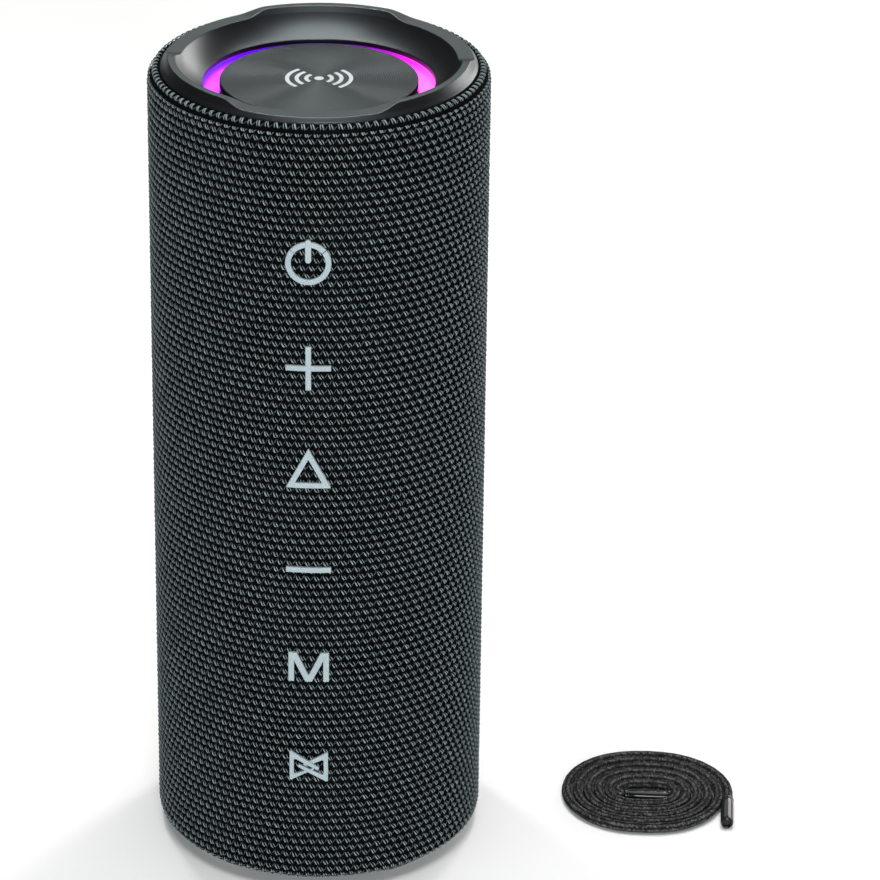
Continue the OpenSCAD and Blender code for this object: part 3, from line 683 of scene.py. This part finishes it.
# cloth over the keys: a patch that moves with the key, and four sectors round it
SECTORS = ["centre", "left", "right", "below", "above"]
for ki, key in enumerate(KEYS):
    kz = KEY_Z[ki]
    body = key + "_key"
    for w, tag in enumerate(SECTORS):
        if w == 0:
            g = np.linspace(-KEY_A, KEY_A, 13)
            X, Z = np.meshgrid(g, g, indexing="ij")
        else:
            e, s = np.meshgrid(np.linspace(KEY_A, KEY_B, 9), np.linspace(-1, 1, 15), indexing="ij")
            X, Z = {1: (-e, -s * e), 2: (e, s * e), 3: (s * e, -e), 4: (-s * e, e)}[w]
        bp = front_point(X, kz + Z, BACK_H + 0.02).reshape(-1, 3)
        bf = grid_faces(X.shape[0], X.shape[1])
        n = np.cross(bp[bf[0, 1]] - bp[bf[0, 0]], bp[bf[0, 2]] - bp[bf[0, 0]])
        if n[1] > 0:
            bf = bf[:, ::-1]
        sel = (zone == ki) & (where == w)
        got = build_strands(tt[sel], vv[sel], STRANDS, 500 + 10 * ki + w, floor_h=-0.44 if w == 0 else -1.0)
        nb = len(bp)
        ob = mesh_object("knit_%s_%s" % (key, tag), np.concatenate([bp, got[0]]), [bf, got[1] + nb], [BACKING, YARN], True,
                         mat_index=np.concatenate([np.zeros(len(bf)), np.ones(len(got[1]))]),
                         attrs={"tone_and_painted_shade": np.concatenate([np.zeros(nb), got[2]]), "yarn": np.concatenate([np.zeros((nb, 3)), got[3]])})
        if w == 0:
            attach(ob, body)
            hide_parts(key + "_cloth")
        else:
            d = {1: (-1, 0), 2: (1, 0), 3: (0, -1), 4: (0, 1)}[w]
            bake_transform(ob)

# ------------------------------------------------------------------ bezels
WAVE, RAMP, LIP_R, LIP_D = 1.4, 12.0, 25.47, 5.95


def dip(theta):
    """Depth of the low sections round the crest, theta in degrees."""
    d = np.abs((np.asarray(theta, float) - 30 + 60) % 120 - 60)
    t = np.clip((d - (30 - RAMP / 2)) / RAMP, 0, 1)
    return WAVE * (1 - t * t * (3 - 2 * t))


def smax(a, b, k):
    h = np.maximum(k - np.abs(a - b), 0) / k
    return np.maximum(a, b) + h * h * k / 4


def bowl(t):
    a, b = np.array([30.44, 1.29]), np.array([LIP_R, LIP_D])
    return a + t * (b - a) + 0.35 * 4 * t * (1 - t) * np.array([0.68, 0.73])


BEZEL = finish("bezel_satin", (0.062, 0.070, 0.074), (0.078, 0.087, 0.091), rough=(0.33, 0.37), metal=1.0, grain=3800.0,
               grain_bump=0.02, grain_d=0.00002, patch=40.0)


def bezel_mesh(name, flip):
    raw = [(34.72, 9.5), (34.72, 2.25), (34.08, 1.52), (33.0, 0.0), (31.5, 0.0)] + [tuple(bowl(i / 16)) for i in range(17)] + \
          [(LIP_R, 6.9), (26.5, 6.9), (26.5, 9.5)]
    rad = [0, 0.14, 0.3, 0.35, 0.6] + [0.25] + [0] * 15 + [0.22] + [0.1, 0.1, 0]
    prof = fillet(raw, rad, 6)
    keep_step = []
    for a, b in zip(prof[:-1], prof[1:]):
        n = max(1, int(math.ceil(np.linalg.norm(b - a) / (0.12 if min(a[1], b[1]) < 3.2 and max(a[0], b[0]) > 27.5 else 0.5))))
        keep_step += [a + (b - a) * i / n for i in range(n)]
    prof = np.array(keep_step + [prof[-1]])
    n = 720
    th = np.arange(n) * 360.0 / n
    dd = dip(th)[:, None]
    upper = (np.arange(len(prof)) < len(prof) - 12)[None, :]
    depth = np.where(upper, smax(np.broadcast_to(prof[None, :, 1], (n, len(prof))), dd - 0.04, 0.22), prof[None, :, 1])
    r = np.broadcast_to(prof[None, :, 0], depth.shape)
    t = np.radians(th)[:, None]
    z = depth if flip else H - depth
    v = np.stack([r * np.cos(t), r * np.sin(t), z], -1).reshape(-1, 3)
    f = grid_faces(n, len(prof), wrap_u=True)
    if flip:
        f = f[:, ::-1]
    return mesh_object(name, v, [f], [BEZEL], True)


for tag, flip in (("top", False), ("bottom", True)):
    ob = bezel_mesh(tag + "_bezel_ring", flip)
    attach(ob, "speaker")
    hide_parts(tag + "_bezel")

# ------------------------------------------------------------------ light channel and its plain twin below
def glow_material():
    m, nt, ns, bsdf = material("light_channel_glow")
    vec = coords(nt)
    sep = nt.nodes.new("ShaderNodeSeparateXYZ")
    nt.links.new(vec, sep.inputs[0])
    xr = nt.nodes.new("ShaderNodeMapRange")
    xr.inputs["From Min"].default_value, xr.inputs["From Max"].default_value = -0.0262, 0.0262
    nt.links.new(sep.outputs["X"], xr.inputs["Value"])
    soft = noise(nt, vec, 110.0, 2.0, 0.5)
    addn = node(nt, "ShaderNodeMath", operation="MULTIPLY_ADD")
    addn.inputs[1].default_value = 0.10
    nt.links.new(soft, addn.inputs[0])
    nt.links.new(xr.outputs["Result"], addn.inputs[2])
    floor_c = ramp(nt, addn.outputs[0], [(0.05, (0.55, 0.05, 1.0)), (0.22, (0.62, 0.03, 0.98)), (0.42, (0.030, 0.004, 0.13)), (0.62, (0.05, 0.004, 0.13)),
                                         (0.86, (0.95, 0.06, 0.80)), (1.0, (1.0, 0.13, 0.78))])
    wall_c = ramp(nt, addn.outputs[0], [(0.05, (0.09, 0.02, 0.70)), (0.2, (0.13, 0.0, 0.85)), (0.38, (0.020, 0.005, 0.12)), (0.64, (0.035, 0.005, 0.11)),
                                        (0.80, (0.30, 0.0, 0.50)), (0.92, (0.75, 0.02, 0.60)), (1.0, (0.85, 0.10, 0.60))])
    zr = nt.nodes.new("ShaderNodeMapRange")
    zr.inputs["From Min"].default_value, zr.inputs["From Max"].default_value = (H - 8.75) * MM, (H - 7.6) * MM
    nt.links.new(sep.outputs["Z"], zr.inputs["Value"])
    mix = node(nt, "ShaderNodeMix", data_type="RGBA")
    nt.links.new(zr.outputs["Result"], mix.inputs["Factor"])
    nt.links.new(floor_c.outputs["Color"], mix.inputs["A"])
    nt.links.new(wall_c.outputs["Color"], mix.inputs["B"])
    yr = nt.nodes.new("ShaderNodeMapRange")
    yr.interpolation_type = "SMOOTHSTEP"
    yr.inputs["From Min"].default_value, yr.inputs["From Max"].default_value = -0.0113, -0.0092
    nt.links.new(sep.outputs["Y"], yr.inputs["Value"])
    lit = node(nt, "ShaderNodeMix", data_type="RGBA")
    lit.inputs["A"].default_value = (0.006, 0.001, 0.012, 1)
    nt.links.new(yr.outputs["Result"], lit.inputs["Factor"])
    nt.links.new(mix.outputs["Result"], lit.inputs["B"])
    nt.links.new(lit.outputs["Result"], bsdf.inputs["Emission Color"])
    nt.links.new(lit.outputs["Result"], bsdf.inputs["Base Color"])
    bsdf.inputs["Emission Strength"].default_value = 1.0
    bsdf.inputs["Roughness"].default_value = 0.45
    fine = noise(nt, vec, 1500.0, 3.0, 0.5)
    bump(nt, bsdf, [(fine, 0.1, 0.00003)])
    return m


GLOW = glow_material()
TRIM = finish("trim_plastic", (0.010, 0.0105, 0.0115), (0.020, 0.021, 0.023), rough=(0.42, 0.55), grain=2600.0, grain_bump=0.12)


def channel_profile(depth_to_z):
    raw = [(21.95, 8.8), (25.35, 8.8), (25.35, 6.97), (26.35, 6.97), (26.4, 9.55), (28.4, 9.55), (28.4, 10.95), (27.2, 10.95),
           (27.2, 10.1), (21.95, 10.1), (21.95, 8.8)]
    p = fillet(raw, [0, 0.45, 0.12, 0.1, 0, 0, 0, 0, 0, 0.1, 0], 6)
    p = resample(p, 0.5)
    return np.stack([p[:, 0], depth_to_z(p[:, 1])], 1)


guide = lathe("light_channel", channel_profile(lambda d: H - d), 288, [GLOW])
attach(guide, "speaker")
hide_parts("top_light_guide")
ring = lathe("lower_trim_channel", channel_profile(lambda d: d), 288, [TRIM])
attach(ring, "speaker")
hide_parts("bottom_trim_ring")

# ------------------------------------------------------------------ spun radiator discs
def spun_material():
    m, nt, ns, bsdf = material("spun_aluminium_dark")
    vec = coords(nt)
    sep = nt.nodes.new("ShaderNodeSeparateXYZ")
    nt.links.new(vec, sep.inputs[0])
    flat = nt.nodes.new("ShaderNodeCombineXYZ")
    nt.links.new(sep.outputs["X"], flat.inputs["X"])
    nt.links.new(sep.outputs["Y"], flat.inputs["Y"])
    ln = node(nt, "ShaderNodeVectorMath", operation="LENGTH")
    nt.links.new(flat.outputs[0], ln.inputs[0])
    rad = nt.nodes.new("ShaderNodeCombineXYZ")
    nt.links.new(ln.outputs["Value"], rad.inputs["X"])
    streak = noise(nt, rad.outputs[0], 5200.0, 3.0, 0.7)
    ring_k = node(nt, "ShaderNodeMath", operation="MULTIPLY")
    ring_k.inputs[1].default_value = 2 * math.pi / 0.00054
    nt.links.new(ln.outputs["Value"], ring_k.inputs[0])
    ring_s = node(nt, "ShaderNodeMath", operation="SINE")
    nt.links.new(ring_k.outputs[0], ring_s.inputs[0])
    ring_a = node(nt, "ShaderNodeMath", operation="MULTIPLY_ADD")
    ring_a.inputs[1].default_value = 0.17
    nt.links.new(ring_s.outputs[0], ring_a.inputs[0])
    nt.links.new(streak, ring_a.inputs[2])
    col = ramp(nt, ring_a.outputs[0], [(0.28, (0.030, 0.033, 0.035)), (0.72, (0.082, 0.088, 0.092))])
    nt.links.new(col.outputs["Color"], bsdf.inputs["Base Color"])
    rr = nt.nodes.new("ShaderNodeMapRange")
    rr.inputs["To Min"].default_value, rr.inputs["To Max"].default_value = 0.24, 0.36
    nt.links.new(streak, rr.inputs["Value"])
    nt.links.new(rr.outputs["Result"], bsdf.inputs["Roughness"])
    bsdf.inputs["Metallic"].default_value = 1.0
    bsdf.inputs["Anisotropic"].default_value = 0.93
    tg = node(nt, "ShaderNodeTangent", direction_type="RADIAL", axis="Z")
    nt.links.new(tg.outputs["Tangent"], bsdf.inputs["Tangent"])
    bump(nt, bsdf, [(streak, 0.10, 0.00002)])
    return m


SPUN = spun_material()
# painted shade: the disc's edge wall is near-black matte so the narrow gap between the disc and the light channel reads
# dark
DISC_EDGE_SHADE = finish("disc_edge_gap_shade", (0.0012, 0.0012, 0.0013), (0.003, 0.003, 0.0032), rough=(0.85, 0.95), grain=2400.0, grain_bump=0.1, spec=0.03)
MARK = finish("printed_mark", (0.50, 0.56, 0.58), (0.60, 0.66, 0.68), rough=(0.30, 0.42), grain=2500.0, grain_bump=0.05, metal=0.2)
DISC_R, DISC_D = 21.73, 5.54


def disc_mesh(name, flip):
    prof = [(0.0, 0.0)]
    r = 0.12
    k = 0
    while r < DISC_R - 0.75:
        ph = (r % 0.54) / 0.54
        groove = 0.017 * (0.5 - 0.5 * math.cos(2 * math.pi * ph))
        prof.append((r, groove))
        r += 0.085
    prof += [(DISC_R - 0.62, 0.0), (DISC_R - 0.30, 0.0), (DISC_R - 0.22, 0.012), (DISC_R - 0.14, 0.045), (DISC_R - 0.07, 0.10), (DISC_R - 0.02, 0.18),
             (DISC_R, 0.28), (DISC_R, 0.8), (DISC_R, 1.36), (15.8, 1.36), (15.8, 4.34), (12.0, 4.34), (12.0, 1.36), (0.0, 1.36)]
    p = np.array([(a, DISC_D + b) for a, b in prof])
    z = p[:, 1] if flip else H - p[:, 1]
    n = 288
    t = np.arange(n) * 2 * math.pi / n
    x = np.cos(t)[:, None] * p[None, :, 0]
    y = np.sin(t)[:, None] * p[None, :, 0]
    v = np.stack([x, y, np.broadcast_to(z[None, :], x.shape)], -1).reshape(-1, 3)
    f = grid_faces(n, len(p), wrap_u=True)
    if flip:
        f = f[:, ::-1]
    first = next(i for i, q in enumerate(prof) if q[0] >= DISC_R - 0.03)
    along_p = (f % len(p)).min(1)
    # the faces of the disc's edge wall get the near-black painted shade; the rest is spun metal
    ob = mesh_object(name, v, [f], [SPUN, DISC_EDGE_SHADE], True, mat_index=((along_p >= first) & (along_p < first + 3)).astype(int))
    bm = bmesh.new()
    bm.from_mesh(ob.data)
    bmesh.ops.remove_doubles(bm, verts=bm.verts, dist=1e-7)
    bm.to_mesh(ob.data)
    bm.free()
    return ob


for tag, flip in (("top", False), ("bottom", True)):
    ob = disc_mesh(tag + "_spun_disc", flip)
    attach(ob, tag + "_radiator")
    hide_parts(tag + "_disc")


# ------------------------------------------------------------------ raised symbols
def solid_from_loops(loops, half, bevel, segments=3):
    """A flat shape with rounded edges, as (verts, faces) in mm: x, y in its plane, z its thickness."""
    cu = bpy.data.curves.new("tmp_shape", "CURVE")
    cu.dimensions, cu.fill_mode = "2D", "BOTH"
    for loop in loops:
        sp = cu.splines.new("POLY")
        sp.points.add(len(loop) - 1)
        for q, (x, y) in zip(sp.points, loop):
            q.co = (x, y, 0, 1)
        sp.use_cyclic_u = True
    cu.extrude, cu.bevel_depth, cu.bevel_resolution, cu.offset = half - bevel, bevel, segments, -bevel
    ob = bpy.data.objects.new("tmp_shape", cu)
    scene.collection.objects.link(ob)
    dg = bpy.context.evaluated_depsgraph_get()
    me = bpy.data.meshes.new_from_object(ob.evaluated_get(dg))
    bpy.data.objects.remove(ob)
    bpy.data.curves.remove(cu)
    bm = bmesh.new()
    bm.from_mesh(me)
    bpy.data.meshes.remove(me)
    bmesh.ops.remove_doubles(bm, verts=bm.verts, dist=1e-4)
    for x in np.arange(-6, 6.01, 0.55):
        bmesh.ops.bisect_plane(bm, geom=bm.verts[:] + bm.edges[:] + bm.faces[:], plane_co=(x + 0.013, 0, 0), plane_no=(1, 0, 0), dist=1e-5)
    return bm


def arc(cx, cy, r, a0, a1, n):
    return [(cx + r * math.cos(math.radians(a0 + (a1 - a0) * i / n)), cy + r * math.sin(math.radians(a0 + (a1 - a0) * i / n))) for i in range(n + 1)]


def ring_arc(r0, r1, a0, a1, n=40):
    return [arc(0, 0, r1, a0, a1, n) + arc(0, 0, r0, a1, a0, n)]


def capsule(x0, y0, x1, y1, w):
    a = math.degrees(math.atan2(y1 - y0, x1 - x0))
    return [arc(x1, y1, w / 2, a - 90, a + 90, 16) + arc(x0, y0, w / 2, a + 90, a + 270, 16)]


def rounded(pts, r, seg=4):
    """A closed loop with its corners eased."""
    out = []
    n = len(pts)
    for i in range(n):
        a, b, c = (np.array(pts[j % n], float) for j in (i - 1, i, i + 1))
        u, w = a - b, c - b
        lu, lw = np.linalg.norm(u), np.linalg.norm(w)
        u, w = u / lu, w / lw
        cutoff = min(r, 0.45 * lu, 0.45 * lw)
        p, q = b + u * cutoff, b + w * cutoff
        for s in range(seg + 1):
            t = s / seg
            out.append(tuple((1 - t) ** 2 * p + 2 * t * (1 - t) * b + t * t * q))
    return out


ICON = finish("symbol_rubber", (0.285, 0.350, 0.378), (0.330, 0.395, 0.422), rough=(0.50, 0.62), grain=2400.0, grain_bump=0.10,
              grain_d=0.00003, patch=150.0, spec=0.4)
W = 1.24


def symbol(name, key, parts):
    """parts: (loops, top height, bevel)."""
    kz = KEY_Z[KEYS.index(key)]
    vs, fs, base = [], [], 0
    for loops, top, bevel in parts:
        half = (top + 0.22) / 2
        bm = solid_from_loops(loops, half, bevel)
        bmesh.ops.recalc_face_normals(bm, faces=bm.faces)
        bm.verts.ensure_lookup_table()
        v = np.array([q.co[:] for q in bm.verts])
        h = v[:, 2] + half - 0.22
        vs.append(np.stack([v[:, 0], -np.sqrt((R + h) ** 2 - v[:, 0] ** 2), kz + v[:, 1]], 1))
        fs += [[base + q.index for q in f.verts] for f in bm.faces]
        base += len(v)
        bm.free()
    me = bpy.data.meshes.new(name)
    me.from_pydata([tuple(p) for p in np.concatenate(vs) * MM], [], fs)
    me.materials.append(ICON)
    me.validate()
    for p in me.polygons:
        p.use_smooth = True
    me.set_sharp_from_angle(angle=math.radians(38))
    ob = bpy.data.objects.new(name, me)
    scene.collection.objects.link(ob)
    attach(ob, key + "_key")
    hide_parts(key + "_icon")
    return ob


B = 0.13
symbol("symbol_power", "power", [
    (ring_arc(4.97 - W, 4.97, 142.5, 397.5, 64), 0.55, B),
    (ring_arc(4.97 - W, 4.97, 38.5, 141.5, 30), 0.55, B),
    (capsule(0, 0.75, 0, 4.85, W + 0.08), 0.66, 0.16)])
symbol("symbol_plus", "plus", [([[(-4.95, -W / 2), (-W / 2, -W / 2), (-W / 2, -5.15), (W / 2, -5.15), (W / 2, -W / 2), (4.95, -W / 2),
                                  (4.95, W / 2), (W / 2, W / 2), (W / 2, 5.15), (-W / 2, 5.15), (-W / 2, W / 2), (-4.95, W / 2)]], 0.58, B)])
symbol("symbol_play", "play", [([rounded([(-5.0, -4.8), (5.0, -4.8), (0, 4.8)], 0.35), rounded([(-2.95, -3.55), (2.95, -3.55), (0, 2.1)], 0.2)], 0.58, B)])
symbol("symbol_minus", "minus", [([rounded([(-5.0, -W / 2), (5.0, -W / 2), (5.0, W / 2), (-5.0, W / 2)], 0.12)], 0.58, B)])
symbol("symbol_mode", "mode", [([rounded([(-4.55, -3.6), (-3.25, -3.6), (-3.25, 1.55), (-0.75, -3.6), (0.75, -3.6), (3.25, 1.55), (3.25, -3.6), (4.55, -3.6),
                                          (4.55, 3.6), (2.65, 3.6), (0, -2.45 + 0.45), (-2.65, 3.6), (-4.55, 3.6)], 0.10)], 0.58, B)])
LEFT = [(-4.35, 3.75), (-3.95, 3.75), (2.42, -0.30), (2.10, -1.02), (-2.85, 1.75), (-3.36, 1.75), (-3.36, -1.92), (-3.05, -1.98),
        (-1.42, -1.32), (-1.16, -1.96), (-3.85, -3.55), (-4.35, -3.55)]
RIGHT = [(4.35, 3.45), (3.95, 3.50), (0.20, 1.36), (0.98, 0.76), (3.0, 1.66), (3.36, 1.48), (3.36, -1.88), (3.05, -2.14),
         (-2.15, 0.46), (-2.62, -0.10), (3.85, -3.80), (4.35, -3.80)]
LOW_B = [(-1.55, -1.40), (1.30, -0.42), (1.02, -1.04), (-1.20, -2.02)]
LOW_A = [(0.55, 1.52), (-1.35, 0.45), (-0.75, 0.02), (1.05, 0.80)]
symbol("symbol_pair", "pair", [([rounded(LEFT, 0.09)], 0.60, 0.11), ([rounded(RIGHT, 0.09)], 0.58, 0.11),
                               ([rounded(LOW_B, 0.08)], 0.40, 0.09), ([rounded(LOW_A, 0.08)], 0.40, 0.09)])

# generic mark on the top disc: a dot and two pairs of sound arcs
mark_v, mark_f, base = [], [], 0
for loops in ([arc(0, 0, 1.05, 0, 360, 40)[:-1]],
              [ring_arc(2.35, 3.25, -48, 48, 24)[0]], [ring_arc(2.35, 3.25, 132, 228, 24)[0]],
              [ring_arc(4.45, 5.35, -48, 48, 32)[0]], [ring_arc(4.45, 5.35, 132, 228, 32)[0]],
              [ring_arc(6.55, 7.45, -48, 48, 40)[0]], [ring_arc(6.55, 7.45, 132, 228, 40)[0]]):
    bm = solid_from_loops(loops, 0.045, 0.02, 1)
    bmesh.ops.recalc_face_normals(bm, faces=bm.faces)
    v = np.array([q.co[:] for q in bm.verts])
    mark_v.append(np.stack([v[:, 0], v[:, 1], H - DISC_D - 0.005 + v[:, 2]], 1))
    mark_f += [[base + q.index for q in f.verts] for f in bm.faces]
    base += len(v)
    bm.free()
me = bpy.data.meshes.new("disc_mark")
me.from_pydata([tuple(p) for p in np.concatenate(mark_v) * MM], [], mark_f)
me.materials.append(MARK)
mark = bpy.data.objects.new("disc_mark", me)
scene.collection.objects.link(mark)
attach(mark, "top_radiator")

# ------------------------------------------------------------------ finishes for the CAD nodes that stay
PLASTIC = finish("shell_plastic", (0.014, 0.0145, 0.0155), (0.026, 0.027, 0.029), rough=(0.45, 0.6), grain=2200.0, grain_bump=0.15)
RUBBER = finish("soft_rubber", (0.010, 0.0105, 0.011), (0.019, 0.0195, 0.020), rough=(0.62, 0.75), grain=3000.0, grain_bump=0.25, spec=0.35)
ZINC = finish("zinc_steel", (0.48, 0.49, 0.50), (0.66, 0.67, 0.68), rough=(0.24, 0.38), metal=1.0, grain=1500.0, grain_bump=0.08)
BASKET = finish("pressed_steel", (0.035, 0.036, 0.038), (0.060, 0.061, 0.064), rough=(0.35, 0.5), metal=0.6, grain=1400.0, grain_bump=0.1)
PAPER = finish("cone_paper", (0.022, 0.022, 0.021), (0.045, 0.044, 0.042), rough=(0.8, 0.95), grain=1300.0, grain_bump=0.5, grain_d=0.00012,
               stretch=(1.0, 1.0, 0.35))
WRAP = finish("cell_wrap", (0.02, 0.07, 0.16), (0.035, 0.11, 0.24), rough=(0.22, 0.34), grain=900.0, grain_bump=0.1, coat=0.5)
LED = finish("led_lens", (0.72, 0.71, 0.62), (0.85, 0.84, 0.76), rough=(0.2, 0.3), grain=1800.0, grain_bump=0.05, coat=0.5)
CAP = finish("key_rubber", (0.05, 0.05, 0.052), (0.085, 0.085, 0.088), rough=(0.6, 0.7), grain=2600.0, grain_bump=0.2)


# ------------------------------------------------------------------ rubber rolls round the radiator discs, in wedges
roll = [(22.0, 10.2), (20.62, 10.2)] + [(18.4 + 2.2 * math.cos(math.radians(a)), 10.2 + 2.2 * math.sin(math.radians(a))) for a in range(10, 180, 10)] + \
       [(16.18, 10.2), (13.5, 10.2)]
roll = resample(np.array(roll), 0.45)
rn = np.gradient(roll, axis=0)
rn = np.stack([-rn[:, 1], rn[:, 0]], 1) / np.linalg.norm(rn, axis=1)[:, None]
skin = np.vstack([roll + 0.29 * rn, (roll - 0.29 * rn)[::-1]])
WEDGES = 12
for tag, flip in (("top", False), ("bottom", True)):
    for w in range(WEDGES):
        mid_a = 2 * math.pi * (w + 0.5) / WEDGES
        t = mid_a + np.linspace(-math.pi / WEDGES, math.pi / WEDGES, 11)
        z = skin[:, 1] if flip else H - skin[:, 1]
        v = np.stack([np.cos(t)[:, None] * skin[None, :, 0], np.sin(t)[:, None] * skin[None, :, 0],
                      np.broadcast_to(z[None, :], (len(t), len(skin)))], -1).reshape(-1, 3)
        f = grid_faces(len(t), len(skin), wrap_v=True)
        ob = mesh_object("%s_roll_%02d" % (tag, w + 1), v, [f if flip else f[:, ::-1]], [RUBBER], True)
        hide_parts(tag + "_surround")
        c, q = math.cos(mid_a), math.sin(mid_a)
        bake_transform(ob)


def board_material():
    m, nt, ns, bsdf = material("solder_mask")
    vec = coords(nt)
    br = nt.nodes.new("ShaderNodeTexBrick")
    br.inputs["Scale"].default_value = 420.0
    br.inputs["Mortar Size"].default_value = 0.035
    br.inputs["Color1"].default_value = (0.006, 0.055, 0.022, 1)
    br.inputs["Color2"].default_value = (0.008, 0.075, 0.030, 1)
    br.inputs["Mortar"].default_value = (0.02, 0.14, 0.05, 1)
    sw = nt.nodes.new("ShaderNodeMapping")
    sw.inputs["Rotation"].default_value = (math.radians(90), 0, 0)
    nt.links.new(vec, sw.inputs["Vector"])
    nt.links.new(sw.outputs["Vector"], br.inputs["Vector"])
    nt.links.new(br.outputs["Color"], bsdf.inputs["Base Color"])
    fine = noise(nt, vec, 1600.0, 2.0, 0.5)
    rr = nt.nodes.new("ShaderNodeMapRange")
    rr.inputs["To Min"].default_value, rr.inputs["To Max"].default_value = 0.25, 0.4
    nt.links.new(fine, rr.inputs["Value"])
    nt.links.new(rr.outputs["Result"], bsdf.inputs["Roughness"])
    bump(nt, bsdf, [(br.outputs["Fac"], 0.15, 0.00003)])
    return m


BOARD = board_material()
BY_SLOT = {"knit": BACKING, "structural_plastic": PLASTIC, "bezel_metal": BEZEL, "light_ring": GLOW, "dark_trim": TRIM, "circuit_board": BOARD,
           "led": LED, "soft_rubber": RUBBER, "spun_disc": SPUN, "zinc_steel": ZINC, "pressed_basket": BASKET, "cone_paper": PAPER,
           "cell_wrap": WRAP, "key_symbol": ICON, "key_rubber": CAP, "cord_braid": BRAID, "cord_tip": TIP}
for name, ob in NODES.items():
    for sl in ob.material_slots:
        base_name = (sl.material.name if sl.material else "").split(".")[0]
        if base_name in BY_SLOT:
            sl.material = BY_SLOT[base_name]

# ------------------------------------------------------------------ studio
floor_m, nt, ns, bsdf = material("studio_floor")
fv = coords(nt)
fn = noise(nt, fv, 6.0, 3.0, 0.5)
fc = ramp(nt, fn, [(0.3, (0.90, 0.90, 0.90)), (0.7, (0.93, 0.93, 0.93))])
nt.links.new(fc.outputs["Color"], bsdf.inputs["Base Color"])
bsdf.inputs["Roughness"].default_value = 0.75
bsdf.inputs["Specular IOR Level"].default_value = 0.2
g = np.linspace(-6, 6, 13) * 1000
X, Y = np.meshgrid(g, g, indexing="ij")
floor = mesh_object("studio_floor", np.stack([X, Y, X * 0 - 0.05], -1).reshape(-1, 3), [grid_faces(13, 13)], [floor_m], False)

world = bpy.data.worlds.new("studio")
scene.world = world
world.use_nodes = True
bg = world.node_tree.nodes["Background"]
bg.inputs["Color"].default_value = (1.0, 1.0, 1.0, 1)
bg.inputs["Strength"].default_value = 0.06


def area(name, at, to, size, power, colour=(1, 1, 1), size_y=None, spread=180):
    d = bpy.data.lights.new(name, "AREA")
    d.shape = "RECTANGLE"
    d.size, d.size_y = size, size_y or size
    d.energy, d.color = power, colour
    d.spread = math.radians(spread)
    o = bpy.data.objects.new(name, d)
    scene.collection.objects.link(o)
    o.location = at
    o.rotation_euler = (Vector(to) - Vector(at)).to_track_quat("-Z", "Y").to_euler()
    return o


area("front_softbox", (0.22, -1.90, 0.50), (0, 0, 0.09), 0.60, 33.0, (0.96, 1.0, 1.0), 0.85)
area("back_right_low", (0.80, 1.02, 0.46), (0, 0, 0.18), 0.95, 7.2, (1.0, 0.965, 0.935), 0.40)
area("disc_panel_a", (-0.14, 0.22, 0.62), (0, 0, 0.18), 0.045, 0.85, (1.0, 0.975, 0.95), 0.045)
area("disc_panel_b", (0.12, 0.24, 0.61), (0, 0, 0.18), 0.045, 0.75, (1.0, 0.985, 0.97), 0.045)
area("back_softbox", (-0.1, 1.9, 1.05), (0, 0, 0.18), 1.6, 3.8, (0.90, 1.0, 0.985), 0.7)
sun_d = bpy.data.lights.new("overhead_fill", "SUN")
sun_d.energy, sun_d.angle = 1.80, math.radians(42)
sun = bpy.data.objects.new("overhead_fill", sun_d)
scene.collection.objects.link(sun)
sun.rotation_euler = (math.radians(3), 0, 0)
